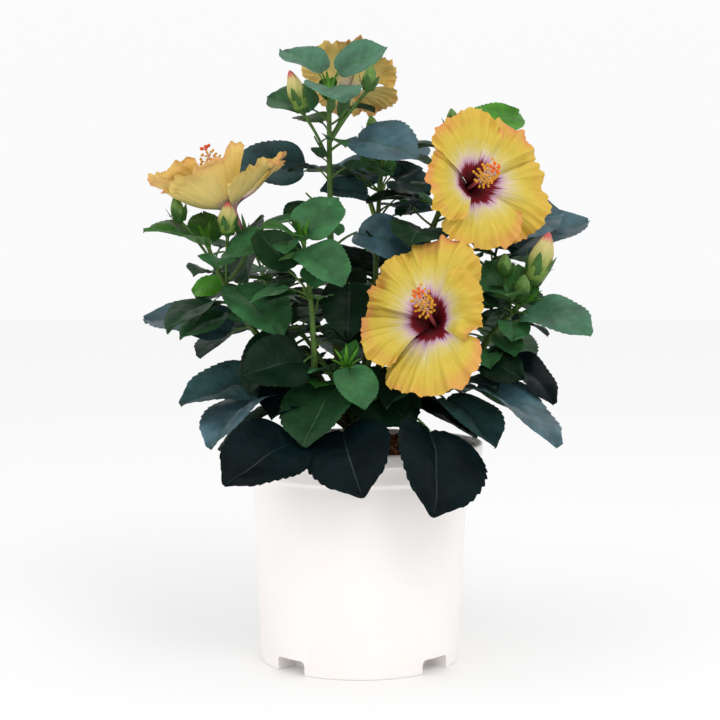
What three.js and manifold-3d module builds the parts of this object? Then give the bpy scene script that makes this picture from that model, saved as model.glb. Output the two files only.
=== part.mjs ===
// A hibiscus shrub in bloom, growing in a white nursery pot.
//
// Millimetres, +Z up. The origin is the middle of the pot's flat underside, and -Y is the front.
// The pot is a turned shell with a rolled rim and four notches round its foot, filled with bark.
// A short woody base stands on the bark and forks into boughs. Each bough ends where a mass of
// foliage begins: one stem that grows on from the bough, with leaves, twigs and buds fused to it.
// Four open blooms stand on stalks of their own. Neighbouring solids keep a hair's breadth apart.
//
// Compass directions: 0 is +X, the right hand side, 90 is +Y, the back, and 270 is the front.

import * as THREE from 'three';
import { mergeVertices } from 'three/addons/utils/BufferGeometryUtils.js';
import Module from 'manifold-3d';

const wasm = await Module();
wasm.setup();

// Driving sizes of the pot
const POT_HEIGHT = 214;
const RIM_RADIUS = 121;
const RIM_BORE = 113.4;
const RIM_DEPTH = 12;
const BAND_RADIUS = 110.6;
const BAND_FOOT = 184.5;
const BODY_TOP_RADIUS = 106;
const BODY_FOOT_RADIUS = 98;
const WALL = 2.2;
const FLOOR = 3;
const POT_SIDES = 44;

// The notches round the foot of the pot
const NOTCHES = 4;
const FIRST_NOTCH = 47.4;
const NOTCH_WIDTH = 35;
const NOTCH_HEIGHT = 14;
const NOTCH_CORNER = 5;
const NOTCH_DEPTH = 24;

// Bark in the pot, and the woody base that stands on it
const BARK_TOP = 206;
const BASE_TOP = 248;
const BASE_LEAN = [-3, 1];
const BASE_PLACE = [-6, 3];
const BASE_FOOT_RADIUS = 9.5;
const BASE_TOP_RADIUS = 7;
const ROOT_FLARE = 6;

// Clearances
const GAP = 0.35;

// Leaf and stalk proportions
const BLADE_WIDTH = 0.84;
const OLD_LEAF_WIDTH = 1.16;
const BLADE_BEND = 34;
const BLADE_CUP = 0.14;
const BLADE_THICKNESS = 0.016;
const THINNEST_BLADE = 1.2;
const OUTLINE_ROUND = 0.44;
const OUTLINE_TAPER = 0.68;
const STALK_RADIUS = 1.25;
const STALK_SHARE = 0.42;
const WIDE_BLADE = 80;
const LONG_STALK = 34;
const SPIRAL = 137.5;
const TRIES = [[0, 1], [14, 1], [-14, 1], [28, 0.86], [-28, 0.86], [50, 0.72], [-50, 0.72]];

// Left, top, right and bottom of a ring
const CORNERS = [[-1, 0], [0, 1], [1, 0], [0, -1]];

// Buds have five sides
const BUD_CORNERS = [0, 1, 2, 3, 4].map((i) => {
  const turn = 0.4 * Math.PI * i;
  return [-Math.cos(turn), Math.sin(turn)];
});
const BUD_STALK = 1.5;

const COLOURS = {
  pot: { color: '#f1ecea', roughness: 0.42 },
  bark: { color: '#7b4a29', roughness: 0.95 },
  wood: { color: '#6d5f48', roughness: 0.85 },
  foliage: { color: '#2f5b35', roughness: 0.5 },
  petals: { color: '#efcc45', roughness: 0.6 },
};

// The boughs, from inside the woody base to where their foliage begins
const BOUGHS = {
  center: { from: [-8, 3, 240], to: [-27, 8, 335], bow: [-2, 0, 0], radius: [4.8, 3.6] },
  left: { from: [-9, 3, 238], to: [-99, -10, 318], bow: [4, 0, -7], radius: [4.6, 3.3] },
  front: { from: [-9, 1, 234], to: [-43, -60, 290], bow: [0, 4, -4], radius: [4.2, 3.0] },
  right: { from: [-6, 3, 237], to: [112, -12, 294], bow: [-4, 0, -9], radius: [4.8, 4.0] },
  upper_right: { from: [-6, 5, 242], to: [58, 18, 385], bow: [4, 0, -4], radius: [4.6, 3.5] },
  front_right: { from: [-6, 1, 236], to: [24, -38, 282], bow: [0, 3, -3], radius: [4.0, 3.0] },
  back_center: { from: [-8, 6, 241], to: [16, 42, 372], bow: [4, 6, -4], radius: [4.2, 3.0] },
  back_left: { from: [-10, 5, 236], to: [-62, 62, 296], bow: [3, -4, -6], radius: [4.2, 3.0] },
  back_right: { from: [-6, 5, 236], to: [92, 58, 322], bow: [-4, -3, -7], radius: [4.4, 3.2] },
  back: { from: [-7, 7, 234], to: [6, 78, 292], bow: [0, -5, -5], radius: [4.0, 2.9] },
};

// The masses of foliage. Each has one stem, which grows on from a bough or from the woody base.
// A leaf's row: place up the stem, direction and length of its stalk, how far the stalk rises,
// direction and tilt of the blade, its length, how far it rolls to its right and, for the old
// leaves that hang over, how far it bends. A bud's row: place up the stem, direction, length and
// rise of its stalk, length and width of the bud, and its tilt. "more" is grown by the rule:
// leaves up the stem in a spiral, twigs with leaves of their own, and the tuft at its tip.
const MASSES = {
  center: {
    to: [-30, 10, 557], bow: [-1, 2, 0], radius: [3.5, 2.2], seed: 11,
    leaves: [
      [0.98, 229, 24, 65, 149, 26, 56, -22],
      [0.99, 13, 22, 67, 17, 27, 55, 45],
      [0.94, 268, 26, 34, 284, -18, 66, 0],
      [0.86, 144, 24, 38, 149, 15, 58, -35],
      [0.64, 114, 67, 5, 180, 4, 78, -46],
      [0.74, 345, 31, 26, 326, -19, 76, 35],
      [0.60, 159, 20, 48, 150, -6, 34, 0],
      [0.68, 237, 14, 26, 239, 26, 20, 0],
      [0.30, 313, 36, 31, 327, -22, 77, 35],
      [0.08, 295, 44, 24, 268, -56, 66, 0],
      [0.12, 301, 39, -11, 306, -55, 58, 0],
    ],
    buds: [
      [0.69, 200, 56, 60, 42, 14, 72],
      [0.77, 332, 66, 50, 25, 13, 80],
    ],
    more: { leaves: 4, from: 0.10, to: 0.92, blade: [70, 44], start: 60, twigs: 0, tuft: 3 },
  },
  left: {
    to: [-148, -15, 408], bow: [-6, 0, 2], radius: [3.2, 2.0], seed: 23,
    leaves: [
      [0.97, 273, 4, 19, 205, 12, 68, -14],
      [0.87, 320, 20, 10, 333, 7, 54, 40],
      [0.96, 131, 7, 26, 100, 48, 42, 0],
      [0.52, 200, 4, 5, 160, -8, 34, -50],
      [0.48, 297, 20, 11, 318, -38, 80, 12],
      [0.10, 153, 25, -16, 166, 6, 92, -24],
      [0.25, 130, 23, -5, 166, -27, 78, -15],
      [0.30, 70, 31, 48, 62, 66, 76, -30],
    ],
    buds: [
      [0.52, 280, 53, 70, 32, 15, 85],
      [0.60, 197, 69, 54, 25, 13, 76],
    ],
    more: { leaves: 6, from: 0.12, to: 0.85, blade: [66, 44], start: 80, twigs: 0, tuft: 0 },
  },
  front: {
    to: [-53, -75, 412], bow: [2, 0, 0], radius: [2.9, 1.9], seed: 37,
    leaves: [
      [0.97, 297, 6, 53, 44, 40, 58, 30],
      [0.96, 239, 7, 34, 223, 13, 48, -18],
      [0.92, 273, 10, 7, 316, -35, 62, 20],
      [0.56, 168, 32, 50, 128, 43, 56, -25],
      [0.70, 134, 14, -5, 124, -42, 44, 0],
      [0.10, 244, 21, -11, 210, -10, 68, -55],
      [0.30, 110, 12, -10, 138, -21, 32, 0],
    ],
    buds: [],
    more: { leaves: 3, from: 0.20, to: 0.85, blade: [56, 40], start: 20, twigs: 0, tuft: 2 },
  },
  right: {
    to: [158, -24, 352], bow: [-3, 0, 2], radius: [3.9, 2.6], seed: 41,
    leaves: [
      [0.04, 15, 33, -1, 334, -42, 66, 15],
      [0.05, 279, 32, 0, 330, -22, 46, 50],
      [0.80, 328, 16, -2, 325, -14, 74, 25],
      [0.66, 62, 18, 2, 32, -22, 50, 20],
      [0.80, 258, 13, -5, 200, 20, 42, -25],
      [0.93, 300, 7, 30, 100, 60, 42, 0],
      [0.88, 121, 15, 10, 128, 50, 54, -20],
    ],
    buds: [
      [0.90, 280, 14, 35, 27, 15, 62],
      [0.97, 350, 22, 62, 52, 19, 72],
      [0.78, 230, 38, 75, 22, 14, 88],
    ],
    more: { leaves: 5, from: 0.10, to: 0.85, blade: [68, 44], start: 70, twigs: 0, tuft: 0 },
  },
  upper_right: {
    to: [104, 16, 500], bow: [-2, 0, 0], radius: [3.4, 2.0], seed: 53,
    leaves: [
      [0.97, 352, 26, 50, 44, 22, 62, 35],
      [0.10, 342, 31, 37, 307, 25, 40, 30],
      [0.25, 30, 60, 10, 23, 8, 98, 40],
    ],
    buds: [
      [0.95, 120, 30, 60, 24, 13, 75],
    ],
    more: { leaves: 7, from: 0.08, to: 0.94, blade: [74, 46], start: 110, twigs: 0, tuft: 0 },
  },
  front_right: {
    to: [70, -26, 330], bow: [0, 0, 3], radius: [2.9, 2.0], seed: 61,
    leaves: [
      [0.45, 320, 30, -30, 230, -30, 74, 0],
    ],
    buds: [],
    more: { leaves: 4, from: 0.15, to: 0.95, blade: [72, 50], start: 250, twigs: 0, tuft: 0 },
  },
  back_center: {
    to: [24, 58, 500], bow: [-2, 2, 0], radius: [2.9, 1.9], seed: 71,
    leaves: [
      [0.62, 341, 26, 72, 135, 40, 42, -20],
      [0.55, 90, 30, 70, 144, 15, 62, -35],
      [0.42, 220, 34, 70, 200, 2, 52, -35],
      [0.66, 27, 23, 57, 40, 12, 46, 35],
      [0.60, 331, 29, 52, 318, -17, 50, 25],
      [0.44, 33, 34, 50, 40, -6, 56, 30],
      [0.34, 355, 29, 52, 340, 5, 42, 30],
      [0.78, 53, 31, 60, 55, 15, 62, 35],
    ],
    buds: [
      [0.95, 150, 24, 65, 24, 13, 80],
    ],
    more: { leaves: 5, from: 0.10, to: 0.95, blade: [74, 48], start: 100, twigs: 0, tuft: 2 },
  },
  back_left: {
    to: [-104, 104, 384], bow: [-3, 3, 4], radius: [2.9, 1.9], seed: 83,
    leaves: [],
    buds: [
      [0.96, 140, 26, 60, 26, 14, 78],
    ],
    more: { leaves: 9, from: 0.04, to: 0.97, blade: [90, 52], start: 30, twigs: 1, tuft: 0 },
  },
  back_right: {
    to: [140, 72, 396], bow: [0, 3, 4], radius: [3.1, 1.9], seed: 97,
    leaves: [
      [0.94, 320, 22, 15, 23, 19, 98, 18],
    ],
    buds: [
      [0.96, 60, 26, 60, 26, 14, 78],
    ],
    more: { leaves: 8, from: 0.04, to: 0.97, blade: [90, 52], start: 50, twigs: 1, tuft: 0 },
  },
  back: {
    to: [14, 132, 372], bow: [0, 4, 4], radius: [2.8, 1.9], seed: 101,
    leaves: [],
    buds: [
      [0.96, 100, 24, 62, 24, 13, 80],
    ],
    more: { leaves: 9, from: 0.04, to: 0.97, blade: [88, 52], start: 10, twigs: 1, tuft: 0 },
  },
  front_shoot: {
    from: [-8, -1, 232], to: [-12, -78, 292], bow: [0, 6, -4], radius: [2.6, 1.6], seed: 109,
    leaves: [
      [0.95, 275, 18, 16, 296, -48, 50, 8],
    ],
    buds: [],
    more: { leaves: 3, from: 0.35, to: 0.85, blade: [54, 40], start: 330, twigs: 0, tuft: 4 },
  },
  skirt_left: {
    from: [-9, 3, 224], to: [-72, -12, 262], bow: [0, 0, 5], radius: [3.4, 2.0], seed: 113,
    leaves: [
      [0.80, 205, 34, 26, 198, -12, 93, -22, 40],
      [0.99, 236, 30, 6, 222, -34, 88, 2, 40],
    ],
    buds: [],
    more: { leaves: 3, from: 0.30, to: 0.97, blade: [84, 76], start: 120, twigs: 0, tuft: 0 },
  },
  skirt_front_left: {
    from: [-8, 1, 222], to: [-44, -58, 256], bow: [0, 0, 5], radius: [3.2, 2.0], seed: 127,
    leaves: [
      [0.99, 252, 54, -34, 210, -26, 86, -32, 44],
      [0.80, 304, 37, 38, 240, -42, 81, 2, 34],
    ],
    buds: [],
    more: { leaves: 3, from: 0.50, to: 0.98, blade: [84, 76], start: 190, twigs: 0, tuft: 0 },
  },
  skirt_front_right: {
    from: [-5, 1, 222], to: [34, -58, 254], bow: [0, 0, 5], radius: [3.2, 2.0], seed: 131,
    leaves: [
      [0.50, 244, 70, -7, 288, -42, 86, 24, 60],
      [0.98, 308, 54, -20, 269, -50, 98, -32, 60],
      [0.50, 253, 34, 50, 333, -28, 72, 30, 40],
      [0.92, 0, 34, 66, 315, -31, 64, 0],
    ],
    buds: [],
    more: { leaves: 3, from: 0.50, to: 0.98, blade: [84, 76], start: 330, twigs: 0, tuft: 0 },
  },
  skirt_right: {
    from: [-5, 3, 225], to: [88, -14, 266], bow: [0, 0, 6], radius: [3.4, 2.2], seed: 137,
    leaves: [
      [0.80, 290, 36, -3, 318, -36, 76, 4, 50],
      [0.98, 312, 36, 8, 322, -30, 108, -4],
    ],
    buds: [],
    more: { leaves: 4, from: 0.30, to: 0.97, blade: [84, 76], start: 40, twigs: 0, tuft: 0 },
  },
  skirt_back_left: {
    from: [-9, 5, 223], to: [-62, 54, 258], bow: [0, 0, 5], radius: [3.2, 2.0], seed: 139,
    leaves: [],
    buds: [],
    more: { leaves: 6, from: 0.30, to: 0.98, blade: [92, 78], start: 60, twigs: 0, tuft: 0 },
  },
  skirt_back_right: {
    from: [-5, 5, 223], to: [56, 60, 258], bow: [0, 0, 5], radius: [3.2, 2.0], seed: 149,
    leaves: [],
    buds: [],
    more: { leaves: 6, from: 0.30, to: 0.98, blade: [92, 78], start: 350, twigs: 0, tuft: 0 },
  },
  inner_left: {
    from: [-9, 1, 243], to: [-62, -26, 330], bow: [3, 2, 0], radius: [2.9, 1.9], seed: 151,
    leaves: [
      [0.95, 250, 26, 0, 232, -58, 72, 0],
    ],
    buds: [],
    more: { leaves: 7, from: 0.30, to: 0.98, blade: [80, 56], start: 250, twigs: 0, tuft: 0 },
  },
  inner_front: {
    from: [-5, 0, 243], to: [26, -40, 336], bow: [-3, 2, 0], radius: [2.9, 1.9], seed: 157,
    leaves: [],
    buds: [],
    more: { leaves: 7, from: 0.30, to: 0.98, blade: [80, 56], start: 200, twigs: 0, tuft: 0 },
  },
  inner_right: {
    from: [-3, 4, 243], to: [66, 26, 326], bow: [-3, -2, 0], radius: [2.9, 1.9], seed: 163,
    leaves: [],
    buds: [],
    more: { leaves: 7, from: 0.30, to: 0.98, blade: [80, 56], start: 300, twigs: 0, tuft: 0 },
  },
  inner_back: {
    from: [-8, 6, 243], to: [-28, 48, 342], bow: [1, -3, 0], radius: [2.9, 1.9], seed: 167,
    leaves: [],
    buds: [],
    more: { leaves: 7, from: 0.30, to: 0.98, blade: [80, 56], start: 90, twigs: 0, tuft: 0 },
  },
};

// The open blooms: the mass and the place on its stem that carries the stalk, where the calyx
// starts, which way the bloom faces, how far it looks up, the petals' reach, how deep the cup is
// and how far its edge droops, how wide it is for its height, and the petals' first turn
const BLOOMS = {
  top: {
    on: 'center', at: 0.80, calyx: [-18, 38, 536], face: 75, up: 50,
    petal: 54, cup: 17, droop: 0, breadth: 1, start: 20,
  },
  left: {
    on: 'left', at: 0.55, calyx: [-112, -12, 412], face: 178, up: 66,
    petal: 70, cup: 46, droop: 12, breadth: 1, start: 0,
  },
  upper_right: {
    on: 'upper_right', at: 0.42, calyx: [97, 14, 457], face: 288, up: 11,
    petal: 72, cup: 18, droop: 1, breadth: 0.94, start: 18,
  },
  front_right: {
    on: 'front_right', at: 0.70, calyx: [79, -37, 320], face: 252, up: 25,
    petal: 75, cup: 20, droop: 2, breadth: 0.88, start: 30,
  },
};
const CALYX_LENGTH = 34;
const COLUMN_LENGTH = 58;
const COLUMN_RADII = [2.2, 2.2, 6.5, 3.5];
const PETAL_THICKNESS = 1.7;
const LOBES = 5;
const BLOOM_SIDES = 20;

const degrees = THREE.MathUtils.degToRad;
const mix = THREE.MathUtils.lerp;

function vector(list) {
  return new THREE.Vector3(...list);
}

function heading(turn, rise) {
  const flat = Math.cos(degrees(rise));
  return new THREE.Vector3(
    flat * Math.cos(degrees(turn)),
    flat * Math.sin(degrees(turn)),
    Math.sin(degrees(rise)),
  );
}

// The same numbers in the same order each time
function seeded(seed) {
  let state = seed;
  return () => {
    state = (state * 1664525 + 1013904223) % 4294967296;
    return state / 4294967296;
  };
}

// Solids

function solid(geometry) {
  const bare = geometry.clone();
  bare.deleteAttribute('normal');
  bare.deleteAttribute('uv');
  const merged = mergeVertices(bare, 1e-4);
  const index = merged.index.array;
  const kept = [];
  for (let i = 0; i < index.length; i += 3) {
    const [a, b, c] = [index[i], index[i + 1], index[i + 2]];
    if (a !== b && b !== c && c !== a) kept.push(a, b, c);
  }
  return new wasm.Manifold(new wasm.Mesh({
    numProp: 3,
    vertProperties: new Float32Array(merged.attributes.position.array),
    triVerts: new Uint32Array(kept),
  }));
}

function geometryOf(body) {
  const made = body.getMesh();
  const geometry = new THREE.BufferGeometry();
  geometry.setAttribute('position', new THREE.BufferAttribute(made.vertProperties, 3));
  geometry.setIndex(new THREE.BufferAttribute(made.triVerts, 1));
  geometry.computeVertexNormals();
  return geometry;
}

// Turned about Z from a profile that runs up the outside, each point [radius, height]
function turned(profile, sides) {
  const points = profile.map(([radius, height]) => new THREE.Vector2(radius, height));
  return new THREE.LatheGeometry(points, sides).rotateX(Math.PI / 2);
}

// A curve from one point to another, whose middle stands off the straight line by its bow
function bowed(from, to, bow) {
  const middle = vector(from).add(vector(to)).multiplyScalar(0.5);
  const control = middle.add(vector(bow).multiplyScalar(2));
  return new THREE.QuadraticBezierCurve3(vector(from), control, vector(to));
}

// A round limb along a path: a cylinder whose rings are laid along it, each at its own radius
function limb(path, radius, sides, steps) {
  const geometry = new THREE.CylinderGeometry(1, 1, 1, sides, steps);
  const place = geometry.attributes.position;
  const chord = path(1).sub(path(0)).normalize();
  const guide = Math.abs(chord.y) < 0.8 ? vector([0, 1, 0]) : vector([1, 0, 0]);
  for (let i = 0; i < place.count; i++) {
    const t = place.getY(i) + 0.5;
    const along = path(t + 0.01).sub(path(t - 0.01)).normalize();
    const side = along.clone().cross(guide).normalize();
    const front = side.clone().cross(along);
    const point = path(t)
      .addScaledVector(side, place.getX(i) * radius(t))
      .addScaledVector(front, place.getZ(i) * radius(t));
    place.setXYZ(i, point.x, point.y, point.z);
  }
  return solid(geometry);
}

function along(curve) {
  return (t) => curve.getPoint(t);
}

// A stem or bough, and the same a gap larger all round, which cuts its neighbours clear
function stemPair(curve, [foot, tip], sides, steps) {
  const reach = GAP / curve.getLength();
  const wider = (t) => curve.getPoint(mix(-reach, 1 + reach, t));
  return {
    body: limb(along(curve), (t) => mix(foot, tip, t), sides, steps),
    clear: limb(wider, (t) => mix(foot, tip, t) + GAP, sides, steps),
  };
}

// The pot

function potOutside() {
  return [
    [0, 0],
    [BODY_FOOT_RADIUS - 1.2, 0],
    [BODY_FOOT_RADIUS, 1.6],
    [BODY_TOP_RADIUS, BAND_FOOT - 3],
    [BAND_RADIUS - 0.4, BAND_FOOT],
    [BAND_RADIUS, POT_HEIGHT - RIM_DEPTH - 0.5],
    [RIM_RADIUS - 0.3, POT_HEIGHT - RIM_DEPTH],
    [RIM_RADIUS, POT_HEIGHT - 1.6],
    [RIM_RADIUS - 1.6, POT_HEIGHT],
  ];
}

function potInside(inset, top) {
  return [
    [BAND_RADIUS - WALL - inset, top],
    [BAND_RADIUS - WALL - inset, BAND_FOOT + 2.5],
    [BODY_TOP_RADIUS - WALL - inset, BAND_FOOT - 1.5],
    [BODY_FOOT_RADIUS - WALL - inset, FLOOR + inset],
    [0, FLOOR + inset],
  ];
}

function notchBlock(turn, grow, start, end) {
  const half = NOTCH_WIDTH / 2 + grow;
  const height = NOTCH_HEIGHT + grow;
  const corner = NOTCH_CORNER;
  const shape = new THREE.Shape();
  shape.moveTo(-half, -5);
  shape.lineTo(half, -5);
  shape.lineTo(half, height - corner);
  shape.quadraticCurveTo(half, height, half - corner, height);
  shape.lineTo(corner - half, height);
  shape.quadraticCurveTo(-half, height, -half, height - corner);
  const block = new THREE.ExtrudeGeometry(shape, {
    depth: end - start, bevelEnabled: false, curveSegments: 3,
  });
  const outward = heading(turn, 0);
  const up = vector([0, 0, 1]);
  const across = up.clone().cross(outward);
  block.translate(0, 0, start);
  block.applyMatrix4(new THREE.Matrix4().makeBasis(across, up, outward));
  return solid(block);
}

function pot() {
  const outside = [...potOutside(), [RIM_BORE, POT_HEIGHT]];
  const shell = solid(turned([...outside, ...potInside(0, POT_HEIGHT - RIM_DEPTH - 1)], POT_SIDES));
  const envelope = solid(turned([...potOutside(), [0, POT_HEIGHT]], POT_SIDES));
  let body = shell;
  for (let i = 0; i < NOTCHES; i++) {
    const turn = FIRST_NOTCH + (360 * i) / NOTCHES;
    const start = BODY_FOOT_RADIUS - NOTCH_DEPTH;
    const housing = notchBlock(turn, WALL, start - WALL, RIM_RADIUS).intersect(envelope);
    body = body.add(housing).subtract(notchBlock(turn, 0, start, RIM_RADIUS));
  }
  return body;
}

function bark() {
  const inside = potInside(GAP + 0.1, POT_HEIGHT - RIM_DEPTH - 1);
  const filling = [...inside].reverse();
  let body = solid(turned([...filling, [BAND_RADIUS - WALL - 0.2, BARK_TOP], [0, BARK_TOP]], POT_SIDES));
  for (let i = 0; i < NOTCHES; i++) {
    const turn = FIRST_NOTCH + (360 * i) / NOTCHES;
    const start = BODY_FOOT_RADIUS - NOTCH_DEPTH - WALL - GAP;
    body = body.subtract(notchBlock(turn, WALL + GAP, start, RIM_RADIUS));
  }
  return body;
}

// The woody base: level rings, so its foot is a flat cut, and it flares out at the roots
function woodyBase(grow) {
  const sides = 12;
  const steps = 4;
  const geometry = new THREE.CylinderGeometry(1, 1, 1, sides, steps).rotateX(Math.PI / 2);
  const place = geometry.attributes.position;
  const foot = BARK_TOP + GAP - grow;
  const top = BASE_TOP + grow;
  for (let i = 0; i < place.count; i++) {
    const t = place.getZ(i) + 0.5;
    const turn = Math.atan2(place.getY(i), place.getX(i));
    const flare = ROOT_FLARE * Math.exp(-7 * t) * (1 + 0.35 * Math.cos(3 * turn));
    const radius = mix(BASE_FOOT_RADIUS, BASE_TOP_RADIUS, t) + flare + grow;
    place.setXYZ(
      i,
      BASE_PLACE[0] + BASE_LEAN[0] * t + place.getX(i) * radius,
      BASE_PLACE[1] + BASE_LEAN[1] * t + place.getY(i) * radius,
      mix(foot, top, t),
    );
  }
  return solid(geometry);
}

// Leaves

// The half width of a blade of unit half width, from its base at 0 to its tip at 1
function outline(s) {
  const peak = OUTLINE_ROUND / (OUTLINE_ROUND + OUTLINE_TAPER);
  const most = peak ** OUTLINE_ROUND * (1 - peak) ** OUTLINE_TAPER;
  return (s ** OUTLINE_ROUND * (1 - s) ** OUTLINE_TAPER) / most;
}

// Where a leaf stands: the end of its stalk, and its blade's length, side and face directions
function leafFrame(leaf, root) {
  const base = root.clone().addScaledVector(heading(leaf.turn, leaf.rise), leaf.stalk);
  const length = heading(leaf.face, leaf.tilt);
  const level = heading(leaf.face - 90, 0);
  const up = level.clone().cross(length);
  const roll = degrees(leaf.roll);
  const side = level.clone().multiplyScalar(Math.cos(roll)).addScaledVector(up, -Math.sin(roll));
  const face = up.clone().multiplyScalar(Math.cos(roll)).addScaledVector(level, Math.sin(roll));
  return { base, length, side, face };
}

// A point of a blade, which arches over its length and is cupped along its midrib
function bladePoint(leaf, frame, s, across, lift) {
  const bend = degrees(leaf.bend);
  const half = bend / 2;
  const lean = half - bend * s;
  const ahead = (leaf.blade * (Math.sin(half) - Math.sin(lean))) / bend;
  const raised = (leaf.blade * (Math.cos(lean) - Math.cos(half))) / bend;
  const width = 0.5 * BLADE_WIDTH * leaf.wide * leaf.blade * outline(s) * across;
  const normal = frame.face.clone().multiplyScalar(Math.cos(lean))
    .addScaledVector(frame.length, -Math.sin(lean));
  return frame.base.clone()
    .addScaledVector(frame.length, ahead)
    .addScaledVector(frame.face, raised)
    .addScaledVector(frame.side, width)
    .addScaledVector(normal, BLADE_CUP * Math.abs(width) + lift);
}

// A ring round a stalk: left, top, right and bottom if it has four points
function stalkRing(path, t, radius, corners) {
  const along = path.getTangent(t);
  const side = along.clone().cross(vector([0, 0, 1])).normalize();
  const top = side.clone().cross(along);
  return corners.map(([across, lift]) => path.getPoint(t)
    .addScaledVector(side, across * radius)
    .addScaledVector(top, lift * radius));
}

// A ball drawn out: its poles go to the ends, and its rings to the places listed between them
function drawnOut(start, rings, end) {
  const sides = rings[0].length;
  const rows = [Array(sides).fill(start), ...rings, Array(sides).fill(end)];
  const geometry = new THREE.SphereGeometry(1, sides, rows.length - 1);
  rows.forEach((row, i) => {
    for (let corner = 0; corner <= sides; corner++) {
      const point = row[corner % sides];
      geometry.attributes.position.setXYZ(i * (sides + 1) + corner, point.x, point.y, point.z);
    }
  });
  return solid(geometry);
}

function bladeRing(leaf, frame, s, spread, thick) {
  return CORNERS.map(([across, lift]) => bladePoint(leaf, frame, s, across * spread, lift * thick));
}

// A leaf, from its tip over the blade's rings and down its stalk to a point inside the stem
function leafBody(leaf, frame, root, grow) {
  const control = root.clone().addScaledVector(heading(leaf.turn, leaf.rise + 15), leaf.stalk / 2);
  const path = new THREE.QuadraticBezierCurve3(root, control, frame.base);
  const thick = Math.max(THINNEST_BLADE, BLADE_THICKNESS * leaf.blade) / 2 + grow;
  const radius = STALK_RADIUS * Math.min(1, 0.55 + leaf.blade / 150) + grow;
  const spread = 1 + (2 * grow) / leaf.blade;
  const stations = leaf.blade < WIDE_BLADE ? [0.64, 0.2] : [0.76, 0.43, 0.13];
  const bends = leaf.stalk > LONG_STALK ? [0.5, 0.05] : [0.1];
  const neck = radius / (0.5 * BLADE_WIDTH * leaf.wide * leaf.blade * outline(0.01));
  const rings = [
    ...stations.map((s) => bladeRing(leaf, frame, s, spread, thick)),
    bladeRing(leaf, frame, 0.01, neck, radius),
    ...bends.map((t) => stalkRing(path, t, radius, CORNERS)),
  ];
  return drawnOut(bladePoint(leaf, frame, 1, 0, 0), rings, root);
}

// The rule: leaves climb the stem in a spiral, smaller and steeper towards its tip
function spiralLeaves(random, count, from, to, [largest, smallest], start) {
  const leaves = [];
  for (let k = 0; k < count; k++) {
    const share = (k + 0.5) / count;
    const turn = start + SPIRAL * k + 30 * (random() - 0.5);
    const length = mix(largest, smallest, share) * (0.88 + 0.24 * random());
    leaves.push({
      at: mix(from, to, share),
      turn,
      stalk: STALK_SHARE * length,
      rise: mix(8, 48, share) + 16 * (random() - 0.5),
      face: turn + 30 * (random() - 0.5),
      tilt: mix(-34, 8, share) + 20 * (random() - 0.5),
      blade: length,
      roll: 30 * (random() - 0.5),
      bend: BLADE_BEND,
    });
  }
  return leaves;
}

// The young leaves that stand together at the tip of a stem
function tuftLeaves(random, count) {
  const leaves = [];
  for (let k = 0; k < count; k++) {
    const turn = 360 * (k / count) + 50 * random();
    leaves.push({
      at: 0.99 - 0.05 * k,
      turn,
      stalk: 5,
      rise: 70,
      face: turn,
      tilt: 58 + 14 * random(),
      blade: 17 + 9 * random(),
      roll: 0,
      bend: BLADE_BEND,
    });
  }
  return leaves;
}

function fromRow([at, turn, stalk, rise, face, tilt, blade, roll, bend = BLADE_BEND]) {
  return { at, turn, stalk, rise, face, tilt, blade, roll, bend };
}

// A twig leaves the stem in the same spiral, and carries a spiral of leaves of its own
function twigs(random, count, start, stem) {
  const made = [];
  for (let k = 0; k < count; k++) {
    const at = 0.22 + (0.5 * (k + 0.5)) / count;
    const turn = start + 70 + SPIRAL * k + 30 * (random() - 0.5);
    const length = 40 + 16 * random();
    const root = stem.getPoint(at);
    const tip = root.clone().addScaledVector(heading(turn, 34 + 10 * random()), length);
    const curve = bowed(root.toArray(), tip.toArray(), [0, 0, -3]);
    const leaves = spiralLeaves(random, 3, 0.5, 0.93, [66, 48], turn - 60);
    made.push({ curve, leaves });
  }
  return made;
}

// Everything that is already standing, so that what comes later keeps clear of it
const standing = [];

function stand(owner, body, kind) {
  standing.push({ owner, body, kind, box: body.boundingBox() });
}

function boxesMeet(a, b) {
  return [0, 1, 2].every((i) => a.min[i] <= b.max[i] && b.min[i] <= a.max[i]);
}

const TOUCH = 1e-3;
const CROSSING = 4;

// True if nothing of another piece lies within a gap of it, and no leaf of its own cuts it
function fits(owner, wider, leaf) {
  const box = wider.boundingBox();
  return standing.every((other) => {
    if (!boxesMeet(box, other.box)) return true;
    if (other.owner !== owner) return wider.intersect(other.body).volume() < TOUCH;
    if (other.kind !== 'leaf' || !leaf) return true;
    return leaf.intersect(other.body).volume() < CROSSING;
  });
}

// The first of a few turns and sizes in which the leaf stands clear, or nothing. The old leaves
// at the front of the skirt are broader than the rest.
function placeLeaf(owner, leaf, curve) {
  const root = curve.getPoint(leaf.at);
  const wide = owner.includes('skirt_front') ? OLD_LEAF_WIDTH : 1;
  for (const [nudge, size] of TRIES) {
    const tried = {
      ...leaf,
      turn: leaf.turn + nudge,
      face: leaf.face + nudge,
      stalk: leaf.stalk * size,
      blade: leaf.blade * size,
      wide,
    };
    const frame = leafFrame(tried, root);
    const body = leafBody(tried, frame, root, 0);
    if (fits(owner, leafBody(tried, frame, root, GAP), body)) {
      stand(owner, body, 'leaf');
      return body;
    }
  }
  return null;
}

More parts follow.
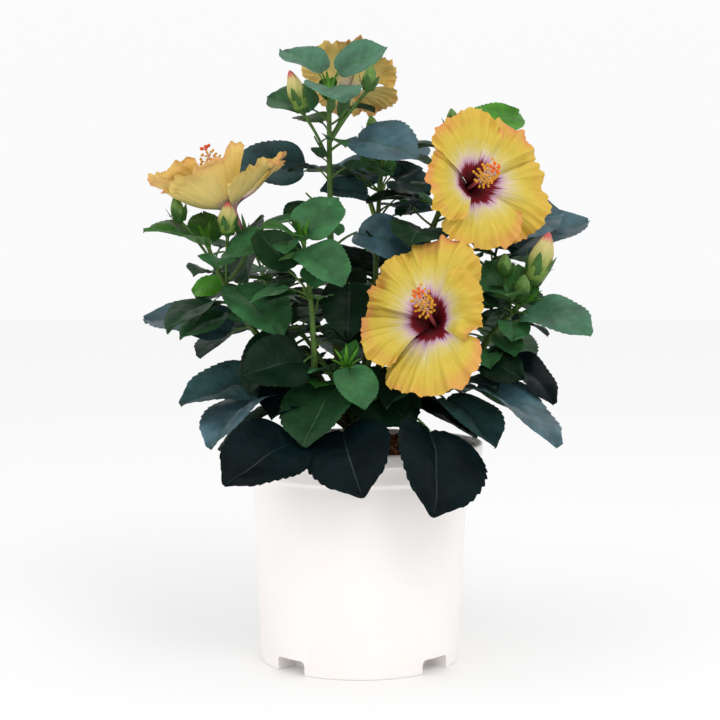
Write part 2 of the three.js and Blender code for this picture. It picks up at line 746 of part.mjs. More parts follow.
// A closed bud on its stalk, fattest a third of the way up
function placeBud(owner, [at, turn, length, rise, size, width, tilt], curve) {
  const root = curve.getPoint(at);
  const base = root.clone().addScaledVector(heading(turn, rise), length);
  const control = root.clone().addScaledVector(heading(turn, rise + 8), length / 2);
  const rising = new THREE.QuadraticBezierCurve3(root, control, base);
  const tip = base.clone().addScaledVector(heading(turn, tilt), size);
  const budLine = new THREE.LineCurve3(base, tip);
  const make = (grow) => drawnOut(
    tip,
    [
      stalkRing(budLine, 0.68, 0.36 * width + grow, BUD_CORNERS),
      stalkRing(budLine, 0.3, 0.5 * width + grow, BUD_CORNERS),
      stalkRing(budLine, 0, BUD_STALK + grow, BUD_CORNERS),
      stalkRing(rising, 0.5, BUD_STALK + grow, BUD_CORNERS),
      stalkRing(rising, 0.04, BUD_STALK + grow, BUD_CORNERS),
    ],
    root,
  );
  if (!fits(owner, make(GAP), null)) return null;
  const body = make(0);
  stand(owner, body, 'bud');
  return body;
}

// Blooms

// A bloom turned in one piece from the foot of its calyx to its throat: a dish with five lobes
// and a rippled edge. Heights are along its axis from the throat.
function petalDish(bloom, grow) {
  const reach = bloom.petal;
  const cup = bloom.cup;
  const profile = [
    [0, -CALYX_LENGTH - grow],
    [6 + grow, -CALYX_LENGTH - grow],
    [0.25 * reach, 0.45 * cup - grow],
    [0.62 * reach, cup - grow],
    [reach, cup - bloom.droop - grow],
    [reach, cup - bloom.droop + PETAL_THICKNESS + grow],
    [0.62 * reach, cup + PETAL_THICKNESS + grow],
    [0.23 * reach, 0.45 * cup + 3.5 + grow],
    [0.05 * reach, 0],
    [0, 0],
  ];
  const geometry = turned(profile, BLOOM_SIDES);
  const place = geometry.attributes.position;
  for (let i = 0; i < place.count; i++) {
    const [x, y, z] = [place.getX(i), place.getY(i), place.getZ(i)];
    const radius = Math.hypot(x, y);
    const turn = Math.atan2(y, x) + degrees(bloom.start);
    const edge = Math.max(0, radius / reach - 0.3) / 0.7;
    const lobe = 1 + 0.05 * edge * Math.cos(LOBES * turn);
    const ripple = 3.5 * edge * edge * Math.sin(2 * LOBES * turn + 0.6);
    const spread = lobe + (radius > 0.5 * reach ? grow / reach : 0);
    place.setXYZ(i, x * spread * bloom.breadth, y * spread, z + ripple);
  }
  return geometry;
}

function bloomBody(bloom, root, grow) {
  const facing = heading(bloom.face, bloom.up);
  const calyx = vector(bloom.calyx);
  const throat = calyx.clone().addScaledVector(facing, CALYX_LENGTH);
  const across = heading(bloom.face + 90, 0);
  const above = facing.clone().cross(across);
  const turn = new THREE.Matrix4().makeBasis(across, above, facing).setPosition(throat);
  const dish = solid(petalDish(bloom, grow).applyMatrix4(turn));
  const columnPath = (t) => throat.clone()
    .addScaledVector(facing, mix(-4, COLUMN_LENGTH, t))
    .add(vector([0, 0, 4 * t * t]));
  const column = limb(columnPath, (t) => COLUMN_RADII[Math.round(3 * t)] + grow, 4, 3);
  const behind = calyx.clone().addScaledVector(facing, -0.4 * calyx.distanceTo(root));
  const end = calyx.clone().addScaledVector(facing, 3);
  const curve = new THREE.QuadraticBezierCurve3(root, behind, end);
  const stem = limb(along(curve), (t) => mix(1.9, 2.4, t) + grow, 4, 3);
  return dish.add(column).add(stem);
}

// The scene graph

const plant = new THREE.Group();

function addNode(name, body, look) {
  const material = new THREE.MeshStandardMaterial({ ...COLOURS[look], metalness: 0 });
  const mesh = new THREE.Mesh(geometryOf(body), material);
  mesh.name = name;
  plant.add(mesh);
}

function largestPiece(body) {
  const pieces = body.decompose();
  return pieces.reduce((best, piece) => (piece.volume() > best.volume() ? piece : best));
}

const potBody = pot();
const barkBody = bark();
addNode('pot', potBody, 'pot');
addNode('bark_filling', barkBody, 'bark');
stand('pot', potBody, 'pot');
stand('bark_filling', barkBody, 'pot');

const base = woodyBase(0);
addNode('woody_base', base, 'wood');
stand('woody_base', base, 'limb');

// Boughs, each cut clear of the woody base and of the boughs before it
const clearings = [woodyBase(GAP)];
const boughCurves = {};
for (const [name, bough] of Object.entries(BOUGHS)) {
  const curve = bowed(bough.from, bough.to, bough.bow);
  boughCurves[name] = curve;
  const pair = stemPair(curve, bough.radius, 6, 4);
  const body = largestPiece(clearings.reduce((left, cut) => left.subtract(cut), pair.body));
  clearings.push(pair.clear);
  addNode(`bough_${name}`, body, 'wood');
  stand(`bough_${name}`, body, 'limb');
}

// Stems of the masses, then the blooms, then the leaves the masses are known by, and the rest
const stems = {};
for (const [name, mass] of Object.entries(MASSES)) {
  const start = mass.from ?? BOUGHS[name].to;
  const curve = bowed(start, mass.to, mass.bow);
  const pair = stemPair(curve, mass.radius, 5, 3);
  const body = largestPiece(clearings.reduce((left, cut) => left.subtract(cut), pair.body));
  clearings.push(pair.clear);
  stems[name] = { curve, parts: [body], clear: pair.clear, random: seeded(mass.seed) };
  stand(`foliage_${name}`, body, 'limb');
}

for (const [name, bloom] of Object.entries(BLOOMS)) {
  const stem = stems[bloom.on];
  const root = stem.curve.getPoint(bloom.at);
  const body = largestPiece(bloomBody(bloom, root, 0).subtract(stem.clear));
  addNode(`bloom_${name}`, body, 'petals');
  stand(`bloom_${name}`, body, 'bloom');
}

function keep(name, made) {
  if (made) stems[name].parts.push(made);
}

for (const [name, mass] of Object.entries(MASSES)) {
  const owner = `foliage_${name}`;
  for (const row of mass.buds) keep(name, placeBud(owner, row, stems[name].curve));
  for (const row of mass.leaves) keep(name, placeLeaf(owner, fromRow(row), stems[name].curve));
}

for (const [name, mass] of Object.entries(MASSES)) {
  const owner = `foliage_${name}`;
  const { curve, random } = stems[name];
  const more = mass.more;
  const grown = spiralLeaves(random, more.leaves, more.from, more.to, more.blade, more.start);
  for (const leaf of grown) keep(name, placeLeaf(owner, leaf, curve));
  for (const leaf of tuftLeaves(random, more.tuft)) keep(name, placeLeaf(owner, leaf, curve));
  for (const twig of twigs(random, more.twigs, more.start, curve)) {
    const path = along(twig.curve);
    const wider = limb(path, () => 1.5 + GAP, 5, 3);
    if (!fits(owner, wider, null)) continue;
    const wood = limb(path, (t) => mix(1.7, 1.4, t), 5, 3);
    stand(owner, wood, 'limb');
    keep(name, wood);
    for (const leaf of twig.leaves) keep(name, placeLeaf(owner, leaf, twig.curve));
  }
}

for (const name of Object.keys(MASSES)) {
  const body = wasm.Manifold.union(stems[name].parts);
  addNode(`foliage_${name}`, largestPiece(body), 'foliage');
}

export default plant;
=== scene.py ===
# The looks of the potted hibiscus: leaves, twigs, blooms and buds by the source's own rule,
# bark relief on the limbs, the turned pot with its filling of bark chips, and the studio.
#
# Blender works in metres, but the plant's rule is written in millimetres as in the source, and
# each mesh is brought to metres as it is made. 0 degrees is +X, 90 is the back, 270 the front.

import math

import bpy
import numpy as np
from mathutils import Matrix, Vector, kdtree
from mathutils.bvhtree import BVHTree


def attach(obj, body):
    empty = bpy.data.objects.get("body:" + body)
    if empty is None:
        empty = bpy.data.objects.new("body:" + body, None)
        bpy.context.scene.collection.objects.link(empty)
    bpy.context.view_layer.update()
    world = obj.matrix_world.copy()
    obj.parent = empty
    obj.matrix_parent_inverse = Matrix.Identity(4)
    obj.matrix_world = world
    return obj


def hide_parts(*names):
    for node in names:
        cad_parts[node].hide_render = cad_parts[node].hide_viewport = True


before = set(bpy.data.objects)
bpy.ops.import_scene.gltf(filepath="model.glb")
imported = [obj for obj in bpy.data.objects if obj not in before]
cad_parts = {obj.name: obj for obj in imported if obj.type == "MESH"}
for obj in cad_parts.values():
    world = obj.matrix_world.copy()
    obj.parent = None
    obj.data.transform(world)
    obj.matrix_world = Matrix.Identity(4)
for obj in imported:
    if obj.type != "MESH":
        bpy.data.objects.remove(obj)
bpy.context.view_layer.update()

MM = 0.001

# Sizes of the pot, as in the source
POT_HEIGHT = 214
RIM_RADIUS = 121
RIM_BORE = 113.4
RIM_DEPTH = 12
BAND_RADIUS = 110.6
BAND_FOOT = 184.5
BODY_TOP_RADIUS = 106
BODY_FOOT_RADIUS = 98
WALL = 2.2
FLOOR = 3
NOTCHES = 4
FIRST_NOTCH = 47.4
NOTCH_WIDTH = 35
NOTCH_HEIGHT = 14
NOTCH_CORNER = 5
NOTCH_DEPTH = 24
BARK_TOP = 206

# The woody base
BASE_TOP = 248
BASE_LEAN = [-3, 1]
BASE_PLACE = [-6, 3]
BASE_FOOT_RADIUS = 9.5
BASE_TOP_RADIUS = 7
ROOT_FLARE = 6

# Leaves and blooms, as in the source
BLADE_WIDTH = 0.84
OLD_LEAF_WIDTH = 1.16
BLADE_BEND = 34
BLADE_CUP = 0.14
OUTLINE_ROUND = 0.44
OUTLINE_TAPER = 0.68
STALK_RADIUS = 1.25
STALK_SHARE = 0.42
SPIRAL = 137.5
TRIES = [[0, 1], [14, 1], [-14, 1], [28, 0.86], [-28, 0.86], [50, 0.72], [-50, 0.72]]
CALYX_LENGTH = 34
COLUMN_LENGTH = 58
LOBES = 5


def table(columns, rows):
    """Rows of values as dictionaries, each value under the name of its column"""
    return {name: dict(zip(columns, values)) for name, values in rows.items()}


# The ends of each bough in mm, how far it bows, and its radius at its foot and its tip
BOUGHS = table(("from", "to", "bow", "radius"), {
    "center": ([-8, 3, 240], [-27, 8, 335], [-2, 0, 0], [4.8, 3.6]),
    "left": ([-9, 3, 238], [-99, -10, 318], [4, 0, -7], [4.6, 3.3]),
    "front": ([-9, 1, 234], [-43, -60, 290], [0, 4, -4], [4.2, 3]),
    "right": ([-6, 3, 237], [112, -12, 294], [-4, 0, -9], [4.8, 4]),
    "upper_right": ([-6, 5, 242], [58, 18, 385], [4, 0, -4], [4.6, 3.5]),
    "front_right": ([-6, 1, 236], [24, -38, 282], [0, 3, -3], [4, 3]),
    "back_center": ([-8, 6, 241], [16, 42, 372], [4, 6, -4], [4.2, 3]),
    "back_left": ([-10, 5, 236], [-62, 62, 296], [3, -4, -6], [4.2, 3]),
    "back_right": ([-6, 5, 236], [92, 58, 322], [-4, -3, -7], [4.4, 3.2]),
    "back": ([-7, 7, 234], [6, 78, 292], [0, -5, -5], [4, 2.9]),
})

# The masses of foliage. The first ten grow on from the boughs of their names.
# more: how many leaves the rule adds, between which places up the stem, their lengths from foot to
# tip, the first one's turn, and how many twigs and how many leaves in the tuft at the tip.
# leaves: place up the stem, turn, the stalk's length and rise, the way the blade points and its
# tilt, its length and roll, and its bend where that isn't the usual one.
# buds: place up the stem, turn, the stalk's length and rise, and the bud's length, width and tilt.
MASSES = table(("from", "to", "bow", "radius", "seed", "more", "leaves", "buds"), {
    "center": (
        None, [-30, 10, 557], [-1, 2, 0], [3.5, 2.2], 11, (4, 0.1, 0.92, [70, 44], 60, 0, 3),
        [[0.98, 229, 24, 65, 149, 26, 56, -22], [0.99, 13, 22, 67, 17, 27, 55, 45],
         [0.94, 268, 26, 34, 284, -18, 66, 0], [0.86, 144, 24, 38, 149, 15, 58, -35],
         [0.64, 114, 67, 5, 180, 4, 78, -46], [0.74, 345, 31, 26, 326, -19, 76, 35],
         [0.6, 159, 20, 48, 150, -6, 34, 0], [0.68, 237, 14, 26, 239, 26, 20, 0],
         [0.3, 313, 36, 31, 327, -22, 77, 35], [0.08, 295, 44, 24, 268, -56, 66, 0],
         [0.12, 301, 39, -11, 306, -55, 58, 0]],
        [[0.69, 200, 56, 60, 42, 14, 72], [0.77, 332, 66, 50, 25, 13, 80]],
    ),
    "left": (
        None, [-148, -15, 408], [-6, 0, 2], [3.2, 2], 23, (6, 0.12, 0.85, [66, 44], 80, 0, 0),
        [[0.97, 273, 4, 19, 205, 12, 68, -14], [0.87, 320, 20, 10, 333, 7, 54, 40],
         [0.96, 131, 7, 26, 100, 48, 42, 0], [0.52, 200, 4, 5, 160, -8, 34, -50],
         [0.48, 297, 20, 11, 318, -38, 80, 12], [0.1, 153, 25, -16, 166, 6, 92, -24],
         [0.25, 130, 23, -5, 166, -27, 78, -15], [0.3, 70, 31, 48, 62, 66, 76, -30]],
        [[0.52, 280, 53, 70, 32, 15, 85], [0.6, 197, 69, 54, 25, 13, 76]],
    ),
    "front": (
        None, [-53, -75, 412], [2, 0, 0], [2.9, 1.9], 37, (3, 0.2, 0.85, [56, 40], 20, 0, 2),
        [[0.97, 297, 6, 53, 44, 40, 58, 30], [0.96, 239, 7, 34, 223, 13, 48, -18],
         [0.92, 273, 10, 7, 316, -35, 62, 20], [0.56, 168, 32, 50, 128, 43, 56, -25],
         [0.7, 134, 14, -5, 124, -42, 44, 0], [0.1, 244, 21, -11, 210, -10, 68, -55],
         [0.3, 110, 12, -10, 138, -21, 32, 0]],
        [],
    ),
    "right": (
        None, [158, -24, 352], [-3, 0, 2], [3.9, 2.6], 41, (5, 0.1, 0.85, [68, 44], 70, 0, 0),
        [[0.04, 15, 33, -1, 334, -42, 66, 15], [0.05, 279, 32, 0, 330, -22, 46, 50],
         [0.8, 328, 16, -2, 325, -14, 74, 25], [0.66, 62, 18, 2, 32, -22, 50, 20],
         [0.8, 258, 13, -5, 200, 20, 42, -25], [0.93, 300, 7, 30, 100, 60, 42, 0],
         [0.88, 121, 15, 10, 128, 50, 54, -20]],
        [[0.9, 280, 14, 35, 27, 15, 62], [0.97, 350, 22, 62, 52, 19, 72],
         [0.78, 230, 38, 75, 22, 14, 88]],
    ),
    "upper_right": (
        None, [104, 16, 500], [-2, 0, 0], [3.4, 2], 53, (7, 0.08, 0.94, [74, 46], 110, 0, 0),
        [[0.97, 352, 26, 50, 44, 22, 62, 35], [0.1, 342, 31, 37, 307, 25, 40, 30],
         [0.25, 30, 60, 10, 23, 8, 98, 40]],
        [[0.95, 120, 30, 60, 24, 13, 75]],
    ),
    "front_right": (
        None, [70, -26, 330], [0, 0, 3], [2.9, 2], 61, (4, 0.15, 0.95, [72, 50], 250, 0, 0),
        [[0.45, 320, 30, -30, 230, -30, 74, 0]],
        [],
    ),
    "back_center": (
        None, [24, 58, 500], [-2, 2, 0], [2.9, 1.9], 71, (5, 0.1, 0.95, [74, 48], 100, 0, 2),
        [[0.62, 341, 26, 72, 135, 40, 42, -20], [0.55, 90, 30, 70, 144, 15, 62, -35],
         [0.42, 220, 34, 70, 200, 2, 52, -35], [0.66, 27, 23, 57, 40, 12, 46, 35],
         [0.6, 331, 29, 52, 318, -17, 50, 25], [0.44, 33, 34, 50, 40, -6, 56, 30],
         [0.34, 355, 29, 52, 340, 5, 42, 30], [0.78, 53, 31, 60, 55, 15, 62, 35]],
        [[0.95, 150, 24, 65, 24, 13, 80]],
    ),
    "back_left": (
        None, [-104, 104, 384], [-3, 3, 4], [2.9, 1.9], 83, (9, 0.04, 0.97, [90, 52], 30, 1, 0),
        [],
        [[0.96, 140, 26, 60, 26, 14, 78]],
    ),
    "back_right": (
        None, [140, 72, 396], [0, 3, 4], [3.1, 1.9], 97, (8, 0.04, 0.97, [90, 52], 50, 1, 0),
        [[0.94, 320, 22, 15, 23, 19, 98, 18]],
        [[0.96, 60, 26, 60, 26, 14, 78]],
    ),
    "back": (
        None, [14, 132, 372], [0, 4, 4], [2.8, 1.9], 101, (9, 0.04, 0.97, [88, 52], 10, 1, 0),
        [],
        [[0.96, 100, 24, 62, 24, 13, 80]],
    ),
    "front_shoot": (
        [-8, -1, 232], [-12, -78, 292], [0, 6, -4], [2.6, 1.6], 109, (3, 0.35, 0.85, [54, 40], 330, 0, 4),
        [[0.95, 275, 18, 16, 296, -48, 50, 8]],
        [],
    ),
    "skirt_left": (
        [-9, 3, 224], [-72, -12, 262], [0, 0, 5], [3.4, 2], 113, (3, 0.3, 0.97, [84, 76], 120, 0, 0),
        [[0.8, 205, 34, 26, 198, -12, 93, -22, 40], [0.99, 236, 30, 6, 222, -34, 88, 2, 40]],
        [],
    ),
    "skirt_front_left": (
        [-8, 1, 222], [-44, -58, 256], [0, 0, 5], [3.2, 2], 127, (3, 0.5, 0.98, [84, 76], 190, 0, 0),
        [[0.99, 252, 54, -34, 210, -26, 86, -32, 44], [0.8, 304, 37, 38, 240, -42, 81, 2, 34]],
        [],
    ),
    "skirt_front_right": (
        [-5, 1, 222], [34, -58, 254], [0, 0, 5], [3.2, 2], 131, (3, 0.5, 0.98, [84, 76], 330, 0, 0),
        [[0.5, 244, 70, -7, 288, -42, 86, 24, 60], [0.98, 308, 54, -20, 269, -50, 98, -32, 60],
         [0.5, 253, 34, 50, 333, -28, 72, 30, 40], [0.92, 0, 34, 66, 315, -31, 64, 0]],
        [],
    ),
    "skirt_right": (
        [-5, 3, 225], [88, -14, 266], [0, 0, 6], [3.4, 2.2], 137, (4, 0.3, 0.97, [84, 76], 40, 0, 0),
        [[0.8, 290, 36, -3, 318, -36, 76, 4, 50], [0.98, 312, 36, 8, 322, -30, 108, -4]],
        [],
    ),
    "skirt_back_left": (
        [-9, 5, 223], [-62, 54, 258], [0, 0, 5], [3.2, 2], 139, (6, 0.3, 0.98, [92, 78], 60, 0, 0),
        [], [],
    ),
    "skirt_back_right": (
        [-5, 5, 223], [56, 60, 258], [0, 0, 5], [3.2, 2], 149, (6, 0.3, 0.98, [92, 78], 350, 0, 0),
        [], [],
    ),
    "inner_left": (
        [-9, 1, 243], [-62, -26, 330], [3, 2, 0], [2.9, 1.9], 151, (7, 0.3, 0.98, [80, 56], 250, 0, 0),
        [[0.95, 250, 26, 0, 232, -58, 72, 0]],
        [],
    ),
    "inner_front": (
        [-5, 0, 243], [26, -40, 336], [-3, 2, 0], [2.9, 1.9], 157, (7, 0.3, 0.98, [80, 56], 200, 0, 0),
        [], [],
    ),
    "inner_right": (
        [-3, 4, 243], [66, 26, 326], [-3, -2, 0], [2.9, 1.9], 163, (7, 0.3, 0.98, [80, 56], 300, 0, 0),
        [], [],
    ),
    "inner_back": (
        [-8, 6, 243], [-28, 48, 342], [1, -3, 0], [2.9, 1.9], 167, (7, 0.3, 0.98, [80, 56], 90, 0, 0),
        [], [],
    ),
})

# The blooms: the mass each one stands on and its place up the stem, where its calyx starts, which way
# it faces and how far it looks up, the petals' reach, how deep the cup is and how far its edge
# droops, and how wide it is for its height
BLOOMS = table(("on", "at", "calyx", "face", "up", "petal", "cup", "droop", "breadth"), {
    "top": ("center", 0.8, [-18, 38, 536], 75, 50, 54, 17, 0, 1),
    "left": ("left", 0.55, [-112, -12, 412], 178, 66, 70, 46, 12, 1),
    "upper_right": ("upper_right", 0.42, [97, 14, 457], 288, 11, 72, 18, 1, 0.94),
    "front_right": ("front_right", 0.7, [79, -37, 320], 252, 25, 75, 20, 2, 0.88),
})

# The tones that a leaf may have: from the oldest to the youngest, then a tone of painted shade and two of
# painted sheen, where the sky's reflection is painted into a blue-grey and a pale green colour
NAVY, DARK, DEEP, MIDDLE, BRIGHT, YOUNG, SHADE, SHEEN, PALE_SHEEN = range(9)
RIB_LOOK = {NAVY: 9, DARK: 9, SHADE: 9, DEEP: 10, MIDDLE: 10, SHEEN: 10, BRIGHT: 11, YOUNG: 11, PALE_SHEEN: 11}
BACK_LOOK = {tone: rib + 3 for tone, rib in RIB_LOOK.items()}

# The tones of a mass, of the leaves at its foot and at its tip, and of the leaves it is known by, some of
# which take the painted shade or painted sheen tones
TONES = {
    "center": (DARK, BRIGHT, [PALE_SHEEN, PALE_SHEEN, PALE_SHEEN, MIDDLE, SHADE, SHEEN, SHADE, MIDDLE, SHEEN, DARK, DARK]),
    "left": (DEEP, BRIGHT, [BRIGHT, MIDDLE, BRIGHT, YOUNG, MIDDLE, SHEEN, MIDDLE, DEEP]),
    "front": (DEEP, BRIGHT, [MIDDLE, BRIGHT, MIDDLE, DEEP, DEEP, DARK, DEEP]),
    "right": (DEEP, BRIGHT, [NAVY, DARK, PALE_SHEEN, SHADE, DEEP, BRIGHT, MIDDLE]),
    "upper_right": (DARK, DEEP, [YOUNG, SHADE, SHEEN]),
    "front_right": (DARK, DEEP, [DARK]),
    "back_center": (DARK, DEEP, [BRIGHT, SHEEN, SHADE, SHADE, SHADE, MIDDLE, SHADE, SHEEN]),
    "back_left": (DARK, MIDDLE, []),
    "back_right": (DARK, MIDDLE, [SHEEN]),
    "back": (DARK, MIDDLE, []),
    "front_shoot": (DEEP, BRIGHT, [MIDDLE]),
    "skirt_left": (NAVY, DARK, [SHADE, SHEEN]),
    "skirt_front_left": (NAVY, DARK, [NAVY, DEEP]),
    "skirt_front_right": (NAVY, DARK, [NAVY, NAVY, DARK, DARK]),
    "skirt_right": (NAVY, DARK, [SHADE, SHEEN]),
    "skirt_back_left": (NAVY, DARK, []),
    "skirt_back_right": (NAVY, DARK, []),
    "inner_left": (DARK, DEEP, [DARK]),
    "inner_front": (DARK, DEEP, []),
    "inner_right": (DARK, DEEP, []),
    "inner_back": (DARK, DEEP, []),
}


# Stubs of stems that were cut: mass, place up its stem, turn, rise, length
STUBS = [("back_center", 0.42, 190, 72, 30), ("back_center", 0.62, 20, 70, 18)]

# Where the photo shows sky between the leaves: the middle and half sizes over the pot's axis, in mm
SKY = [
    (2, 444, 16, 12), (-3, 403, 13, 11), (54, 426, 6, 7), (-54, 506, 15, 45), (-172, 391, 22, 18),
    (-115, 392, 9, 14), (-60, 330, 20, 18),
]
# The camera: where it stands in mm, how far it is turned about X in degrees, its lens and its sensor
EYE = np.array([0.0, -1572.0, 400.0])
CAMERA_TURN = 86.16
LENS = 79.96
SENSOR = 36


# Directions, curves and random numbers, as in the source

def heading(turn, rise):
    turn, rise = math.radians(turn), math.radians(rise)
    return np.array([math.cos(rise) * math.cos(turn), math.cos(rise) * math.sin(turn), math.sin(rise)])


def seeded(seed):
    state = seed

    def draw():
        nonlocal state
        state = (state * 1664525 + 1013904223) % 4294967296
        return state / 4294967296

    return draw


def mix(start, end, share):
    return start + (end - start) * share


def full_turn(sides):
    """The turns of the corners of a ring, in radians"""
    return np.arange(sides) * 2 * math.pi / sides


def unit(vectors):
    size = np.linalg.norm(vectors, axis=-1, keepdims=True)
    return vectors / np.maximum(size, 1e-9)


def bezier(start, control, end):
    start, control, end = (np.asarray(p, dtype=float) for p in (start, control, end))

    def at(t):
        t = np.asarray(t, dtype=float)[..., None]
        return (1 - t) ** 2 * start + 2 * t * (1 - t) * control + t ** 2 * end

    return at


def bowed(start, end, bow):
    middle = (np.array(start, dtype=float) + np.array(end)) / 2
    return bezier(start, middle + 2 * np.array(bow), end)


def smooth(low, high, value):
    t = np.clip((value - low) / (high - low), 0, 1)
    return t * t * (3 - 2 * t)


# Meshes

X, Y, Z = np.eye(3)


def add_object(name, data):
    made = bpy.data.objects.new(name, data)
    bpy.context.scene.collection.objects.link(made)
    return made


def soften(mesh, sharp=None):
    """Smooth shading, apart from edges sharper than an angle in degrees"""
    mesh.polygons.foreach_set("use_smooth", np.ones(len(mesh.polygons), dtype=bool))
    if sharp is not None:
        mesh.set_sharp_from_angle(angle=math.radians(sharp))


class Pile:
    """Many small shapes that are joined into one mesh"""

    def __init__(self):
        self.points = []
        self.faces = []
        self.looks = []
        self.marks = []
        self.count = 0

    def add(self, points, faces, looks, marks):
        """Points in mm, quads of their numbers, a material number per quad and two marks per point"""
        points = np.reshape(points, (-1, 3))
        self.points.append(points)
        self.faces.append(faces + self.count)
        self.looks.append(np.broadcast_to(looks, len(faces)))
        self.marks.append(np.reshape(marks, (-1, 2)))
        self.count += len(points)

    def add_sheets(self, over, under, faces, looks, under_looks, marks):
        """Two sheets, one behind the other, that face away from each other"""
        self.add(over, faces, looks, marks)
        self.add(under, faces[:, TURNED], under_looks, marks)

    def build(self, name, materials, slot, nodes, sharp=None):
        faces = np.concatenate(self.faces)
        mesh = bpy.data.meshes.new(name)
        mesh.vertices.add(self.count)
        mesh.vertices.foreach_set("co", (np.concatenate(self.points) * MM).astype(np.float32).ravel())
        mesh.loops.add(faces.size)
        mesh.loops.foreach_set("vertex_index", faces.astype(np.int32).ravel())
        mesh.polygons.add(len(faces))
        mesh.polygons.foreach_set("loop_start", np.arange(0, faces.size, 4, dtype=np.int32))
        for material in materials:
            mesh.materials.append(material)
        mesh.polygons.foreach_set("material_index", np.concatenate(self.looks).astype(np.int32))
        marks = np.concatenate(self.marks)[faces.ravel()]
        mesh.uv_layers.new(name="marks").uv.foreach_set("vector", marks.astype(np.float32).ravel())
        mesh.update()
        mesh.validate()
        soften(mesh, sharp)
        piece = add_object(name, mesh)
        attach(piece, "root")
        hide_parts(*nodes)


def grid_faces(rows, columns, closed=False):
    """Quads over rows of points; a closed row joins its last point to its first"""
    quads = columns if closed else columns - 1
    row, column = np.meshgrid(np.arange(rows - 1), np.arange(quads), indexing="ij")
    row, column = row.ravel(), column.ravel()
    following = (column + 1) % columns
    return np.stack([
        row * columns + column,
        row * columns + following,
        (row + 1) * columns + following,
        (row + 1) * columns + column,
    ], axis=1)


# The corners of a quad seen from behind. It keeps its first corner, so it splits along the same line.
TURNED = [0, 3, 2, 1]


def grid_normals(grid):
    """The directions that a grid (rows, columns, 3) faces at each of its points"""
    down = np.gradient(grid, axis=0)
    over = np.gradient(grid, axis=1)
    return unit(np.cross(over, down))


def add_tube(pile, path, radius, look, sides=8, steps=8, start=0.0, end=1.0, relief=None):
    """A round limb along a path; radius(t) in mm, and relief(turn, t) adds to it"""
    t = np.linspace(start, end, steps + 1)
    middle = path(t)
    ahead = unit(path(t + 0.01) - path(t - 0.01))
    chord = unit(path(np.array(end)) - path(np.array(start)))
    side = unit(np.cross(ahead, Y if abs(chord[1]) < 0.8 else X))
    front = np.cross(side, ahead)
    turn = full_turn(sides)
    size = np.array([radius(step) for step in t])[:, None] * np.ones(sides)
    if relief is not None:
        size = size + relief(turn[None, :], t[:, None])
    grid = (
        middle[:, None, :]
        + side[:, None, :] * (np.cos(turn) * size)[..., None]
        + front[:, None, :] * (np.sin(turn) * size)[..., None]
    )
    points = grid.reshape(-1, 3)
    marks = np.stack(np.broadcast_arrays(turn / (2 * math.pi), t[:, None]), axis=-1).reshape(-1, 2)
    # Each end is closed by quads that meet at a point a little way out
    caps = []
    for ring, away, flip in ((0, -ahead[0], True), (steps, ahead[-1], False)):
        points = np.vstack([points, middle[ring] + away * float(size[ring].mean()) * 0.6])
        marks = np.vstack([marks, marks[ring * sides]])
        for i in range(0, sides, 2):
            quad = [len(points) - 1, *(ring * sides + (i + k) % sides for k in range(3))]
            caps.append(quad[::-1] if flip else quad)
    pile.add(points, np.vstack([grid_faces(steps + 1, sides, closed=True), np.array(caps)]), look, marks)


def add_ball(pile, centre, size, look, axis=Z, stretch=1.0, sides=8, rings=5):
    """A small ball, drawn out along an axis if it is stretched"""
    axis = unit(axis)
    side = unit(np.cross(axis, X if abs(axis[0]) < 0.8 else Y))
    front = np.cross(axis, side)
    polar = np.linspace(0.08, math.pi - 0.08, rings)[:, None]
    turn = full_turn(sides)
    grid = (
        centre
        + axis * (np.cos(polar)[..., None] * size * stretch)
        + side * (np.sin(polar) * np.cos(turn))[..., None] * size
        + front * (np.sin(polar) * np.sin(turn))[..., None] * size
    )
    marks = np.stack(np.broadcast_arrays(turn / 6.2832, polar / math.pi), axis=-1)
    pile.add(grid, grid_faces(rings, sides, closed=True)[:, ::-1], look, marks)


# Leaves, as in the source, with the teeth, waves and ribs of a real blade

def outline(s):
    peak = OUTLINE_ROUND / (OUTLINE_ROUND + OUTLINE_TAPER)
    most = peak ** OUTLINE_ROUND * (1 - peak) ** OUTLINE_TAPER
    return s ** OUTLINE_ROUND * (1 - s) ** OUTLINE_TAPER / most


def leaf_frame(leaf, root):
    base = root + heading(leaf["turn"], leaf["rise"]) * leaf["stalk"]
    length = heading(leaf["face"], leaf["tilt"])
    level = heading(leaf["face"] - 90, 0)
    up = np.cross(level, length)
    roll = math.radians(leaf["roll"])
    side = level * math.cos(roll) - up * math.sin(roll)
    face = up * math.cos(roll) + level * math.sin(roll)
    return base, length, side, face


def blade_points(leaf, root, s, across, lift=0.0, widen=1.0):
    """Points of a blade, which arches over its length and is cupped along its midrib"""
    base, length, side, face = leaf_frame(leaf, root)
    bend = math.radians(leaf["bend"])
    half = bend / 2
    lean = half - bend * s
    size = leaf["blade"]
    ahead = size * (math.sin(half) - np.sin(lean)) / bend
    raised = size * (np.cos(lean) - math.cos(half)) / bend
    width = 0.5 * BLADE_WIDTH * leaf["wide"] * size * outline(s) * across * widen
    normal = face * np.cos(lean)[..., None] - length * np.sin(lean)[..., None]
    return (
        base
        + length * ahead[..., None]
        + face * raised[..., None]
        + side * width[..., None]
        + normal * (BLADE_CUP * np.abs(width) + lift)[..., None]
    )


def tooth_stations(teeth):
    """Places up a blade at the foot and the point of each tooth, and their share of a tooth"""
    places, points = [], []
    for k in range(teeth):
        for place, point in ((0.0, 0.0), (0.45, 0.6), (0.85, 1.0)):
            places.append(0.012 + 0.976 * (k + place) / teeth)
            points.append(point)
    places.append(0.994)
    points.append(0.3)
    return np.array(places), np.array(points)


